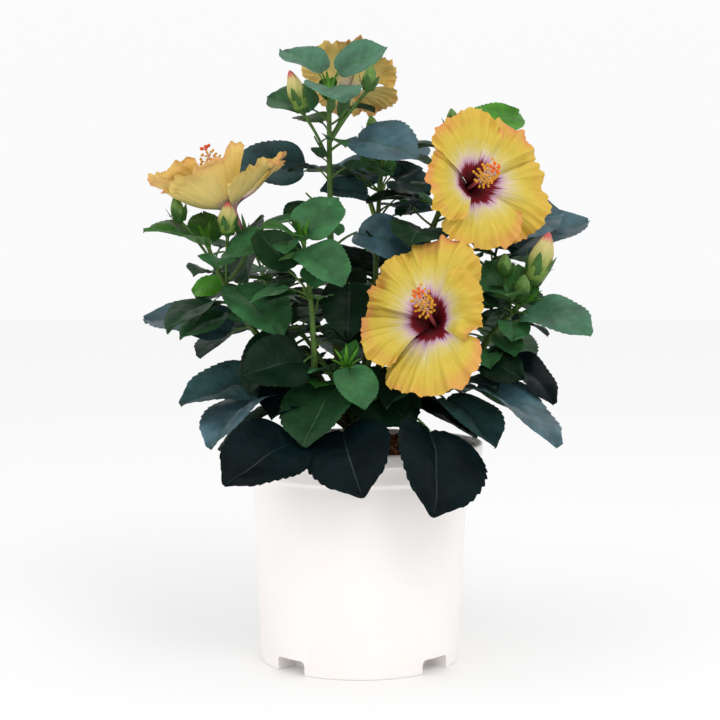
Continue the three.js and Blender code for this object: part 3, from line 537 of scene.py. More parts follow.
# The teeth and the places over a blade's width, of leaves longer than BIG_LEAF in mm and of others
BIG_LEAF = 38
FINE_TEETH = 13
FINE_COLUMNS = np.array([-1, -0.86, -0.58, -0.28, -0.02, 0.02, 0.28, 0.58, 0.86, 1])
COARSE_TEETH = 7
COARSE_COLUMNS = np.array([-1, -0.6, -0.03, 0.03, 0.6, 1])
RIBS = 6
RIB_SWEEP = 0.34


def add_blade(pile, leaf, root, draw):
    """A toothed blade of two sheets that meet along its edge: the face and the paler back"""
    size = leaf["blade"]
    teeth, columns = (FINE_TEETH, FINE_COLUMNS) if size > BIG_LEAF else (COARSE_TEETH, COARSE_COLUMNS)
    places, points = tooth_stations(teeth)
    s, across = np.meshgrid(places, columns, indexing="ij")
    reach = np.abs(across)
    toothed = (0.15 + 0.85 * smooth(0.2, 0.6, places)) * (1 - 0.5 * smooth(0.85, 1.0, places))
    tooth = (points - 0.5)[:, None] * 0.06 * (reach > 0.9) * toothed[:, None]
    drip = -0.36 * smooth(0.78, 0.97, s)
    phase, sway, fold = 6.28 * draw(), draw() - 0.5, draw() - 0.5
    along_rib = RIBS * (s - RIB_SWEEP * reach * (1 - 0.25 * reach))
    quilt = 0.030 * np.abs(np.sin(math.pi * along_rib)) * smooth(0.0, 0.4, reach) * (1 - reach ** 3)
    curl = 0.026 * reach ** 2 * np.sin(7.5 * s + 1.9 * np.sign(across) + phase)
    rumple = 0.018 * np.sin(5.2 * s + 2.6 * across + 2 * phase)
    rumple = rumple + 0.012 * np.sin(11 * s - 4.1 * across + phase)
    rib = -0.009 * (reach < 0.1) * (1 - s)
    tip = 0.05 * fold * smooth(0.6, 1.0, s)
    lift = size * (quilt + curl + 0.024 * reach + rumple * smooth(0.0, 0.15, s) + rib + tip)
    over = blade_points(leaf, root, s, across, lift, 1 + tooth + drip)
    side = leaf_frame(leaf, root)[2]
    over = over + side * (0.06 * sway * size * np.sin(math.pi * s))[..., None]
    normal = grid_normals(over)
    facing = np.sum(normal * leaf_frame(leaf, root)[3], axis=-1).mean()
    normal = normal * np.sign(facing)
    thick = size * (0.0055 * (1 - reach ** 4) + 0.009 * (reach < 0.1) * (1 - s))
    under = over - normal * thick[..., None]
    faces = grid_faces(*s.shape)
    if facing < 0:
        faces = faces[:, TURNED]
    marks = np.stack([0.5 + 0.5 * across, s], axis=-1)
    columns_of = np.tile(np.arange(len(columns) - 1), len(places) - 1)
    tone = leaf["tone"]
    looks = np.where(columns_of == len(columns) // 2 - 1, RIB_LOOK[tone], tone)
    pile.add_sheets(over, under, faces, looks, BACK_LOOK[tone], marks)


def add_stalk(pile, leaf, root):
    base = leaf_frame(leaf, root)[0]
    control = root + heading(leaf["turn"], leaf["rise"] + 15) * leaf["stalk"] / 2
    thick = STALK_RADIUS * min(1, 0.5 + leaf["blade"] / 150)
    add_tube(pile, bezier(root, control, base), lambda t: thick * (1.15 - 0.35 * t), STALK, sides=6, steps=6)


def leaf_of(at, turn, stalk, rise, face, tilt, blade, roll, bend=BLADE_BEND):
    """A leaf under the names of its values, in the order of the masses' rows"""
    return {
        "at": at, "turn": turn, "stalk": stalk, "rise": rise, "face": face, "tilt": tilt,
        "blade": blade, "roll": roll, "bend": bend, "wide": 1,
    }


def spiral_leaves(draw, count, low, high, blades, start):
    leaves = []
    for k in range(count):
        share = (k + 0.5) / count
        turn = start + SPIRAL * k + 30 * (draw() - 0.5)
        length = mix(blades[0], blades[1], share) * (0.88 + 0.24 * draw())
        rise = mix(8, 48, share) + 16 * (draw() - 0.5)
        face = turn + 30 * (draw() - 0.5)
        tilt = mix(-34, 8, share) + 20 * (draw() - 0.5)
        roll = 30 * (draw() - 0.5)
        at = mix(low, high, share)
        leaves.append(leaf_of(at, turn, STALK_SHARE * length, rise, face, tilt, length, roll))
    return leaves


def tuft_leaves(draw, count):
    leaves = []
    for k in range(count):
        turn = 360 * (k / count) + 50 * draw()
        leaves.append(leaf_of(0.99 - 0.05 * k, turn, 5, 70, turn, 58 + 14 * draw(), 17 + 9 * draw(), 0))
    return leaves


def grow_twigs(draw, count, start, stem):
    made = []
    for k in range(count):
        at = 0.22 + 0.5 * (k + 0.5) / count
        turn = start + 70 + SPIRAL * k + 30 * (draw() - 0.5)
        length = 40 + 16 * draw()
        root = stem(at)
        tip = root + heading(turn, 34 + 10 * draw()) * length
        made.append((bowed(root, tip, [0, 0, -3]), spiral_leaves(draw, 3, 0.5, 0.93, [66, 48], turn - 60)))
    return made


def solid_points(node):
    """The corners of a CAD solid in millimetres, ready to be searched"""
    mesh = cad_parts[node].data
    tree = kdtree.KDTree(len(mesh.vertices))
    for index, vertex in enumerate(mesh.vertices):
        tree.insert(vertex.co / MM, index)
    tree.balance()
    return tree


# How near a corner of a blade has to be to one of the solid, in mm, to be the same
NEAR = 0.25


def as_in_solid(leaf, root, tree):
    """The leaf at the first of its turns and sizes that the solid has, or nothing"""
    for nudge, size in TRIES:
        tried = dict(
            leaf,
            turn=leaf["turn"] + nudge,
            face=leaf["face"] + nudge,
            stalk=leaf["stalk"] * size,
            blade=leaf["blade"] * size,
        )
        stations = [0.64, 0.2] if tried["blade"] < 80 else [0.76, 0.43, 0.13]
        s = np.array([1.0] + [place for place in stations for _ in (0, 1)])
        across = np.array([0.0] + [1.0, -1.0] * len(stations))
        corners = blade_points(tried, root, s, across)
        found = sum(tree.find(Vector(corner))[2] < NEAR for corner in corners)
        if found >= 2:
            return tried
    return None


# Materials

def rgb(red, green, blue):
    """A colour as a picture gives it, from 0 to 255, as Blender counts light"""
    return tuple((value / 255 / 12.92) if value < 11 else ((value / 255 + 0.055) / 1.055) ** 2.4
                 for value in (red, green, blue)) + (1.0,)


def grey(value):
    return (value, value, value, 1.0)


def toned(color, factor, more=0.0):
    """A darker or a lighter colour of the same kind"""
    return tuple(min(1, c * factor + more) for c in color[:3]) + (1.0,)


class Shader:
    """A material's nodes, put together by short calls"""

    def __init__(self, name, roughness, shine):
        self.material = bpy.data.materials.new(name)
        self.material.use_nodes = True
        self.tree = self.material.node_tree
        self.surface = self.tree.nodes["Principled BSDF"]
        self.surface.inputs["Roughness"].default_value = roughness
        self.surface.inputs["Specular IOR Level"].default_value = shine

    def set(self, socket, value):
        if isinstance(value, bpy.types.NodeSocket):
            self.tree.links.new(value, socket)
        else:
            socket.default_value = value

    def node(self, kind, **inputs):
        made = self.tree.nodes.new("ShaderNode" + kind)
        for name, value in inputs.items():
            self.set(made.inputs[name], value)
        return made

    def place(self, scale=(1, 1, 1)):
        coordinates = self.node("TexCoord").outputs["Object"]
        return self.node("Mapping", Scale=scale, Vector=coordinates).outputs["Vector"]

    def marks(self):
        layer = self.node("UVMap")
        layer.uv_map = "marks"
        split = self.node("SeparateXYZ", Vector=layer.outputs["UV"])
        return split.outputs["X"], split.outputs["Y"]

    def math(self, operation, first, second=0.0):
        made = self.node("Math")
        made.operation = operation
        self.set(made.inputs[0], first)
        self.set(made.inputs[1], second)
        return made.outputs[0]

    def times(self, first, second):
        return self.math("MULTIPLY", first, second)

    def plus(self, first, second):
        return self.math("ADD", first, second)

    def minus(self, first, second):
        return self.math("SUBTRACT", first, second)

    def swing(self, noise, size):
        """A noise that goes to both sides of nothing"""
        return self.times(self.minus(noise, 0.5), size)

    def noise(self, scale, detail=3, vector=None, roughness=0.5):
        vector = self.place() if vector is None else vector
        made = self.node("TexNoise", Scale=scale, Detail=detail, Roughness=roughness, Vector=vector)
        return made.outputs["Fac"]

    def streaks(self, marks, over, along, detail):
        """A noise that is drawn out by how many times it fits over and along a piece's marks"""
        places = self.node("CombineXYZ", X=self.times(marks[0], over), Y=self.times(marks[1], along), Z=0.0)
        return self.noise(1.0, detail, places.outputs[0])

    def steps(self, value, stops):
        made = self.node("ValToRGB")
        ramp = made.color_ramp
        while len(ramp.elements) < len(stops):
            ramp.elements.new(0.5)
        for element, (place, color) in zip(ramp.elements, stops):
            element.position = place
            element.color = color
        self.set(made.inputs["Fac"], value)
        return made.outputs["Color"]

    def greys(self, value, low, high, start=0, end=1):
        """A grey that goes from start to end while the value goes from low to high"""
        return self.steps(value, [(low, grey(start)), (high, grey(end))])

    def mottled(self, noise, color, low, high, dark, light):
        return self.steps(noise, [(low, toned(color, dark)), (high, toned(color, light))])

    def blend(self, share, first, second, kind="MIX"):
        made = self.node("Mix")
        made.data_type = "RGBA"
        made.blend_type = kind
        self.set(made.inputs["Factor"], share)
        self.set(made.inputs[6], first)
        self.set(made.inputs[7], second)
        return made.outputs[2]

    def bump(self, height, strength, distance, under=None):
        made = self.node("Bump", Strength=strength, Distance=distance, Height=height)
        if under is not None:
            self.set(made.inputs["Normal"], under)
        return made.outputs["Normal"]

    def finish(self, color, roughness=None, normal=None):
        for name, value in (("Base Color", color), ("Roughness", roughness), ("Normal", normal)):
            if value is not None:
                self.set(self.surface.inputs[name], value)
        return self.material


def rib_pattern(shader):
    """Which places of a blade are by one of its side ribs: a thin line, and a broad hollow"""
    across, up = shader.marks()
    reach = shader.math("ABSOLUTE", shader.minus(shader.times(across, 2.0), 1.0))
    easing = shader.minus(1.0, shader.times(reach, 0.25))
    sweep = shader.times(shader.times(reach, RIB_SWEEP), easing)
    turn = shader.math("FRACT", shader.times(shader.minus(up, sweep), float(RIBS)))
    away = shader.math("ABSOLUTE", shader.minus(turn, 0.5))
    fading = shader.minus(1.0, shader.times(reach, 0.8))
    line = shader.greys(away, 0.43, 0.5)
    hollow = shader.greys(away, 0.1, 0.5)
    return shader.times(line, fading), shader.times(hollow, fading)


def leaf_face(name, color, shine, rib_light):
    """The upper side of a blade: mottled, half glossy, a little paler and sunk along its side ribs, with
    painted shade darkening these sunk bands
    """
    shader = Shader(name, 0.45, shine)
    ribs, hollow = rib_pattern(shader)
    body = shader.mottled(shader.noise(34, 4, roughness=0.6), color, 0.34, 0.66, 0.62, 1.4)
    veined = shader.blend(shader.times(ribs, rib_light), body, toned(color, 1.7, 0.01))
    gloss = shader.greys(shader.noise(70), 0.3, 0.7, 0.36, 0.56)
    fine = shader.bump(shader.noise(420), 0.2, 0.0006)
    # Painted shade: the sunk bands along the side ribs are darkened
    shaded = shader.blend(shader.times(hollow, 0.5), veined, grey(0.62), "MULTIPLY")
    return shader.finish(shaded, gloss, shader.bump(hollow, -0.6, 0.0022, fine))


def leaf_back(name, color):
    shader = Shader(name, 0.62, 0.25)
    ribs, hollow = rib_pattern(shader)
    body = shader.blend(shader.times(ribs, 0.6), color, toned(color, 1.35))
    return shader.finish(body, None, shader.bump(hollow, 0.6, 0.0018))


def plain_green(name, color, roughness=0.5):
    shader = Shader(name, roughness, 0.35)
    body = shader.mottled(shader.noise(160), color, 0.3, 0.7, 0.75, 1.25)
    return shader.finish(body, None, shader.bump(shader.noise(700, 2), 0.15, 0.0005))


def wood():
    """Grey brown bark at the foot that turns green towards the boughs' tips"""
    shader = Shader("grey brown bark", 0.8, 0.2)
    height = shader.node("SeparateXYZ", Vector=shader.place()).outputs["Z"]
    uneven = shader.plus(height, shader.times(shader.noise(60, 4), 0.05))
    share = shader.greys(uneven, 0.27, 0.34)
    bark = shader.steps(shader.noise(260, 5, shader.place((1, 1, 0.3)), 0.65), [
        (0.30, rgb(58, 46, 34)), (0.52, rgb(112, 92, 66)), (0.72, rgb(158, 138, 104)),
    ])
    green = shader.steps(shader.noise(120), [(0.3, rgb(58, 74, 34)), (0.7, rgb(96, 116, 54))])
    relief = shader.bump(shader.noise(330, 5, shader.place((1, 1, 0.35)), 0.7), 0.6, 0.0012)
    return shader.finish(shader.blend(share, bark, green), None, relief)


def bark_chip(name, color):
    shader = Shader(name, 0.93, 0.15)
    body = shader.mottled(shader.noise(220, 5, roughness=0.7), color, 0.25, 0.75, 0.45, 1.5)
    return shader.finish(body, None, shader.bump(shader.noise(600, 4), 0.7, 0.001))


def pot_plastic():
    shader = Shader("warm white plastic", 0.36, 0.45)
    tint = shader.steps(shader.noise(9), [(0.3, rgb(246, 241, 238)), (0.7, rgb(250, 246, 243))])
    gloss = shader.greys(shader.noise(30, 4), 0.3, 0.7, 0.32, 0.42)
    return shader.finish(tint, gloss, shader.bump(shader.noise(1400, 2), 0.05, 0.0003))


MAROON = rgb(70, 5, 12)
CRIMSON = rgb(128, 16, 32)
BLUSH = rgb(208, 168, 196)
CREAM = rgb(220, 202, 172)
PALE_YELLOW = rgb(214, 198, 116)
YELLOW = rgb(211, 188, 76)
GOLD = rgb(215, 181, 72)
PEACH = rgb(224, 150, 92)


def petal_face():
    """A maroon eye with a ragged edge, a pale halo with rays, then yellow, with peach here and there"""
    shader = Shader("petal face", 0.55, 0.2)
    marks = shader.marks()
    out = marks[1]
    rays = shader.streaks(marks, 110.0, 2.5, 4)
    broad = shader.streaks(marks, 17.0, 1.5, 2)
    patches = shader.streaks(marks, 11.0, 4.0, 3)
    ragged = shader.plus(shader.swing(rays, 0.30), shader.swing(broad, 0.26))
    spread = shader.steps(out, [(0.10, grey(0.2)), (0.34, grey(0.8)), (0.6, grey(1.0))])
    zones = shader.steps(shader.plus(out, shader.times(ragged, spread)), [
        (0.16, MAROON), (0.28, CRIMSON), (0.33, BLUSH), (0.40, CREAM), (0.50, PALE_YELLOW), (0.64, YELLOW),
        (0.95, GOLD),
    ])
    share = shader.times(shader.greys(out, 0.78, 1.0), shader.greys(patches, 0.46, 0.60, 0.08))
    blushed = shader.blend(share, zones, PEACH)
    fine = shader.streaks(marks, 300.0, 5.0, 3)
    streaked = shader.blend(0.3, blushed, shader.greys(fine, 0.3, 0.7, 0.62), "MULTIPLY")
    return shader.finish(streaked, None, shader.bump(fine, 0.4, 0.0009))


def petal_back():
    """Outside, a petal is blushed at its foot, whitish above that, and a paler yellow"""
    shader = Shader("petal back", 0.6, 0.15)
    marks = shader.marks()
    out = marks[1]
    rays = shader.streaks(marks, 120.0, 3.0, 3)
    patches = shader.streaks(marks, 11.0, 4.0, 3)
    zones = shader.steps(shader.plus(out, shader.swing(rays, 0.22)), [
        (0.02, rgb(196, 104, 124)), (0.09, rgb(214, 150, 154)), (0.17, rgb(232, 214, 190)),
        (0.30, rgb(246, 224, 142)), (0.9, rgb(248, 216, 126)),
    ])
    share = shader.times(shader.greys(out, 0.74, 1.0), shader.greys(patches, 0.44, 0.60, 0.1))
    blushed = shader.blend(share, zones, rgb(244, 176, 120))
    streaked = shader.blend(0.4, blushed, shader.greys(rays, 0.3, 0.7, 0.62), "MULTIPLY")
    return shader.finish(streaked, None, shader.bump(rays, 0.4, 0.001))


def bud_petals(tip):
    """Rolled petals of a bud: green at their foot, cream, and coloured where they end"""
    shader = Shader("bud petals", 0.5, 0.25)
    marks = shader.marks()
    rays = shader.streaks(marks, 30.0, 3.0, 3)
    zones = shader.steps(shader.plus(marks[1], shader.swing(rays, 0.3)), [
        (0.30, rgb(110, 138, 62)), (0.55, rgb(176, 176, 102)), (0.80, rgb(200, 184, 122)), (0.92, tip),
    ])
    return shader.finish(zones, None, shader.bump(rays, 0.5, 0.0008))


def soft(name, color, roughness=0.5):
    shader = Shader(name, roughness, 0.3)
    return shader.finish(shader.mottled(shader.noise(500, 2), color, 0.3, 0.7, 0.8, 1.0))


LEAF_LOOKS = [
    leaf_face("leaf navy", rgb(6, 21, 23), 0.07, 0.16),
    leaf_face("leaf dark", rgb(9, 33, 17), 0.09, 0.2),
    leaf_face("leaf deep", rgb(25, 57, 30), 0.14, 0.25),
    leaf_face("leaf middle", rgb(52, 101, 59), 0.18, 0.3),
    leaf_face("leaf bright", rgb(44, 94, 34), 0.2, 0.32),
    leaf_face("leaf young", rgb(64, 126, 26), 0.22, 0.32),
    # The last three are painted light: painted shade, a blue-grey painted sheen and a pale green painted
    # sheen
    leaf_face("leaf in shade", rgb(44, 73, 73), 0.16, 0.2),
    leaf_face("leaf with sheen", rgb(59, 90, 99), 0.4, 0.2),
    leaf_face("leaf pale sheen", rgb(64, 108, 82), 0.3, 0.3),
    plain_green("rib dark", rgb(15, 32, 32)),
    plain_green("rib middle", rgb(48, 82, 50)),
    plain_green("rib light", rgb(68, 114, 52)),
    leaf_back("back dark", rgb(36, 56, 46)),
    leaf_back("back deep", rgb(54, 84, 56)),
    leaf_back("back bright", rgb(82, 124, 66)),
]
GREEN_LOOKS = [
    plain_green("stem green", rgb(72, 104, 36)),
    plain_green("stalk green", rgb(74, 108, 42)),
    plain_green("calyx green", rgb(58, 98, 40)),
    plain_green("bud green", rgb(92, 128, 58)),
    bud_petals(rgb(192, 92, 92)),
    plain_green("stem brown", rgb(84, 72, 48), 0.7),
    plain_green("cut green", rgb(150, 176, 84), 0.6),
    plain_green("shoot green", rgb(80, 138, 36)),
]
STEM, STALK, CALYX, BUD, BUD_PETALS, STEM_BROWN, CUT, SHOOT = range(8)


# The plant

def bloom_basis(bloom):
    facing = heading(bloom["face"], bloom["up"])
    across = heading(bloom["face"] + 90, 0)
    above = np.cross(facing, across)
    throat = np.array(bloom["calyx"], dtype=float) + facing * CALYX_LENGTH
    return throat, across, above, facing


BRANCHES = {name: bowed(b["from"], b["to"], b["bow"]) for name, b in BOUGHS.items()}
STEMS = {name: bowed(m["from"] or BOUGHS[name]["to"], m["to"], m["bow"]) for name, m in MASSES.items()}
leaf_piles = {"upper": Pile(), "middle": Pile(), "lower": Pile()}
green = Pile()
LEVELS = {
    "upper": ["center", "left", "upper_right", "back_center", "front"],
    "middle": ["right", "front_right", "back_left", "back_right", "back", "front_shoot",
               "inner_left", "inner_front", "inner_right", "inner_back"],
}


def level_of(name):
    for level, names in LEVELS.items():
        if name in names:
            return level
    return "lower"


def tone_at(name, at, draw):
    foot, tip, _ = TONES[name]
    tone = foot + (tip - foot) * min(1.0, max(0.0, at)) + 0.9 * (draw() - 0.5)
    return int(np.clip(round(tone), NAVY, YOUNG))


def grow_leaf(name, leaf, root, draw, tone=None):
    leaf["tone"] = tone_at(name, leaf["at"], draw) if tone is None else tone
    add_blade(leaf_piles[level_of(name)], leaf, root, draw)
    add_stalk(green, leaf, root)


def covers_sky(point):
    shown = EYE + (point - EYE) * (-EYE[1] / (point[1] - EYE[1]))
    return any(abs(shown[0] - x) < wide and abs(shown[2] - z) < high for x, z, wide, high in SKY)


def by_a_bloom(point):
    """Whether a point is among a bloom's petals or in the open space before them"""
    for bloom in BLOOMS.values():
        throat, _, _, facing = bloom_basis(bloom)
        ahead = (point - throat) @ facing
        aside = np.linalg.norm(point - throat - facing * ahead)
        if -12 < ahead < 80 and aside < 1.1 * bloom["petal"]:
            return True
    return False


def solid_surfaces():
    """The surfaces of all the solids in millimetres, ready to be searched"""
    points, faces = [], []
    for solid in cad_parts.values():
        first = len(points)
        points.extend(vertex.co / MM for vertex in solid.data.vertices)
        faces.extend([first + corner for corner in face.vertices] for face in solid.data.polygons)
    return BVHTree.FromPolygons(points, faces)


SURFACES = solid_surfaces()


def crosses_a_solid(start, end):
    way = Vector(end - start)
    return SURFACES.ray_cast(Vector(start), way.normalized(), way.length)[0] is not None


def has_room(leaf, root, tree):
    """Whether a finer leaf is near its mass, clear of the solids and blooms, and out of the sky"""
    s = np.array([0.25, 0.5, 0.5, 1.0])
    foot, left, right, tip = blade_points(leaf, root, s, np.array([0.0, -1.0, 1.0, 0.0]))
    if any(tree.find(Vector(corner))[2] > REACH for corner in (foot, left, right, tip)):
        return False
    if any(by_a_bloom(corner) or covers_sky(corner) for corner in (left, right, tip)):
        return False
    edges = ((foot, tip), (left, right), (foot, left), (foot, right), (left, tip), (right, tip))
    return not any(crosses_a_solid(start, end) for start, end in edges)


# How far from its mass's solid a finer leaf may be, in mm, and how many finer twigs a mass has
REACH = 26
FINE_TWIGS = 6


def fine_twigs(draw, stem):
    """Twigs a step finer than the source's, with three small leaves each"""
    made = []
    for k in range(FINE_TWIGS):
        at = 0.12 + 0.8 * (k + draw()) / FINE_TWIGS
        turn = SPIRAL * k + 360 * draw()
        root = stem(at)
        tip = root + heading(turn, 10 + 40 * draw()) * (16 + 16 * draw())
        leaves = spiral_leaves(draw, 3, 0.4, 1.0, [38, 26], turn - 60)
        made.append((bowed(root, tip, [0, 0, -2]), leaves))
    return made


# The size of a leaf that the solid doesn't have, for its full size
SMALL_BLADE = 0.62
SMALL_STALK = 0.7


def grow_by_rule(name, leaf, same, root, tree, draw):
    """A leaf of the source's rule as the solid has it, or else a smaller one where there is room"""
    small = dict(leaf, blade=leaf["blade"] * SMALL_BLADE, stalk=leaf["stalk"] * SMALL_STALK)
    if same or has_room(small, root, tree):
        grow_leaf(name, same or small, root, draw)


def stem_relief(turn, t):
    return 0.12 * np.sin(3 * turn + 9 * t) + 0.25 * np.exp(-((t * 7) % 1 - 0.5) ** 2 * 60)


def grow_mass(name, mass):
    """The leaves of a mass on its stem: the rows', the rule's, the twigs' and the finer twigs'"""
    stem = STEMS[name]
    tree = solid_points("foliage_" + name)
    looks = seeded(mass["seed"] * 7 + 3)
    draw = seeded(mass["seed"])
    count, low, high, blades, start, twigs, tuft = mass["more"]
    wide = OLD_LEAF_WIDTH if name.startswith("skirt_front") else 1
    for row, tone in zip(mass["leaves"], TONES[name][2]):
        root = stem(row[0])
        leaf = as_in_solid(dict(leaf_of(*row), wide=wide), root, tree)
        if leaf:
            grow_leaf(name, leaf, root, looks, tone)
    for leaf in spiral_leaves(draw, count, low, high, blades, start) + tuft_leaves(draw, tuft):
        leaf["wide"] = wide
        root = stem(leaf["at"])
        grow_by_rule(name, leaf, as_in_solid(leaf, root, tree), root, tree, looks)
    for curve, leaves in grow_twigs(draw, twigs, start, stem):
        leaves = [dict(leaf, wide=wide) for leaf in leaves]
        found = [as_in_solid(leaf, curve(leaf["at"]), tree) for leaf in leaves]
        if any(found):
            add_tube(green, curve, lambda t: mix(1.7, 1.4, t), STALK)
            for leaf, same in zip(leaves, found):
                grow_by_rule(name, leaf, same, curve(leaf["at"]), tree, looks)
    for curve, leaves in fine_twigs(looks, stem):
        room = [leaf for leaf in leaves if has_room(leaf, curve(leaf["at"]), tree)]
        if room:
            add_tube(green, curve, lambda t: mix(1.2, 0.9, t), STALK, sides=6, steps=6)
        for leaf in room:
            grow_leaf(name, leaf, curve(leaf["at"]), looks)
    foot, tip = mass["radius"]
    look = STEM_BROWN if name.startswith("skirt") else STEM
    add_tube(green, stem, lambda t: mix(foot, tip, t), look, sides=12, steps=20, relief=stem_relief)


for name, mass in MASSES.items():
    grow_mass(name, mass)

# How thick a bud is along its length, as shares of its width, and the length from which petals show
BUD_GIRTH = ([0.0, 0.1, 0.3, 0.5, 0.68, 0.84, 0.95, 1.0], [0.36, 0.78, 1.0, 0.96, 0.80, 0.52, 0.26, 0.08])
BIG_BUD = 30


def add_bud(row, stem):
    """A closed bud: petals rolled to a point, in a green calyx with thin bracts round its foot"""
    at, turn, length, rise, size, width, tilt = row
    root = stem(at)
    base = root + heading(turn, rise) * length
    control = root + heading(turn, rise + 8) * length / 2
    add_tube(green, bezier(root, control, base), lambda t: 1.35 + 0.5 * t ** 3, STALK, sides=8, steps=10)
    axis = heading(turn, tilt)
    line = bezier(base, base + axis * size / 2, base + axis * size)
    half = (0.62 if size > BIG_BUD else 0.5) * width

    def rolls(turn, t):
        return 0.10 * width * (np.abs(np.sin(2.5 * turn + 4 * t)) - 0.5) * np.sin(math.pi * t) ** 0.5

    add_tube(green, line, lambda t: half * float(np.interp(t, *BUD_GIRTH)),
             BUD_PETALS if size > BIG_BUD else BUD, sides=30, steps=24, relief=rolls)
    add_lobes(base, axis, 5, 0.62 * width + 0.8, 0.62 * size, 0.44 * width, CALYX, 0.18 * width)
    add_lobes(base - axis * 1.5, axis, 8, 0.32 * width, 0.42 * size, 0.06 * width, CALYX, 0.6 * width)


def add_lobes(base, axis, count, radius, height, breadth, look, spread, foot=0.5):
    """Pointed green lobes that stand round an axis, each of two thin sheets"""
    side = unit(np.cross(axis, Z if abs(axis[2]) < 0.9 else X))
    front = np.cross(axis, side)
    t, across = np.meshgrid(np.linspace(0, 1, 9), np.linspace(-1, 1, 5), indexing="ij")
    away = radius * (foot + (1 - foot) * np.sin(np.minimum(1.0, t * 1.4) * math.pi / 2)) + spread * t ** 2.5
    half = breadth * (1 - t) ** 0.7 * (0.75 + 0.5 * t)
    for k in range(count):
        turn = 2 * math.pi * (k + 0.3) / count
        out = side * math.cos(turn) + front * math.sin(turn)
        grid = (
            base
            + axis * (t * height)[..., None]
            + out * (away - 0.25 * np.abs(across) * half)[..., None]
            + np.cross(axis, out) * (across * half)[..., None]
        )
        inner = grid - out * 0.4 * (1 - np.abs(across) ** 2)[..., None]
        green.add_sheets(grid, inner, grid_faces(*t.shape), look, look, np.stack([across, t], axis=-1))


for name, mass in MASSES.items():
    for row in mass["buds"]:
        add_bud(row, STEMS[name])

# Narrow young leaves unfold at the tips of the stems
for name in ("center", "left", "front", "right", "back_center", "front_shoot"):
    tip = STEMS[name](1.0)
    axis = unit(tip - STEMS[name](0.94))
    add_lobes(tip - axis * 4, axis, 7, 4.0, 25, 2.8, SHOOT, 11)
    add_lobes(tip - axis * 2, axis, 4, 2.4, 18, 2.2, SHOOT, 4)

for name, at, turn, rise, length in STUBS:
    root = STEMS[name](at)
    end = root + heading(turn, rise) * length
    add_tube(green, bowed(root, end, [0, 0, 0]), lambda t: 1.9 - 0.3 * t, CUT, sides=10, steps=6)

# Blooms

PETAL_PATH = [0.0, 0.10, 0.20, 0.38, 0.66, 1.0]
PETAL_ROWS = 44
PETAL_COLUMNS = 71

# Where a petal passes outside its tube: shares of the bloom's reach, and of its height. The left
# bloom is a bowl, and the others open flat.
OPEN = ([0.25, 0.62, 1.0], [0.45, 1.0, 1.0])
BOWL = ([0.38, 0.74, 1.0], [0.26, 0.66, 1.15])

# The petals of a bloom: turn and half width in degrees, shares of its reach and of the cup's height,
# and the degrees that it stands up
PETALS = {
    "top": [(20, 44, 1, 1, 4), (92, 44, 1.05, 1, -2), (164, 43, 0.97, 1, 6),
            (236, 45, 1, 1, 0), (308, 44, 1.05, 1, 3)],
    "left": [(-12, 56, 0.98, 1.06, 0), (66, 56, 0.98, 0.74, -5), (144, 50, 1, 0.75, -5),
             (218, 50, 1.0, 1, 13), (292, 58, 1.1, 0.92, 15)],
    "front_right": [(143, 38, 1, 1, 7), (79, 43, 1.05, 1, -2), (10, 46, 0.95, 1, 14),
                    (280, 54, 1.06, 1, -5), (203, 42, 1.02, 1, 4)],
    "upper_right": [(105, 48, 1.02, 1, 6), (37, 40, 1.02, 1, -6), (337, 40, 1.1, 1, -2),
                    (270, 48, 0.98, 1, 6), (190, 48, 0.94, 1, 12)],
}


def through(places, values, t):
    """A smooth curve through a few values"""
    slopes = np.gradient(values, places)
    index = np.clip(np.searchsorted(places, t, side="right") - 1, 0, len(places) - 2)
    places, values, slopes = (np.asarray(v, dtype=float) for v in (places, values, slopes))
    step = places[index + 1] - places[index]
    u = (t - places[index]) / step
    return (
        (2 * u ** 3 - 3 * u ** 2 + 1) * values[index]
        + (u ** 3 - 2 * u ** 2 + u) * step * slopes[index]
        + (3 * u ** 2 - 2 * u ** 3) * values[index + 1]
        + (u ** 3 - u ** 2) * step * slopes[index + 1]
    )


def frilled(across, phases, sharp):
    """Uneven waves along a petal's edge; the sharp ones are rounded on top and pointed below"""
    frill = 0
    for count, size, phase in zip((4.1, 7.7, 13.3, 23.9, 39.7), (0.9, 1.0, 0.9, 0.7, 0.5), phases):
        wave = np.sin(count * across + phase + 0.7 * np.sin(2.3 * across + 2 * phase))
        frill = frill + size * (wave if not sharp else 1 - 2 * np.abs(wave) ** 0.8)
    return frill


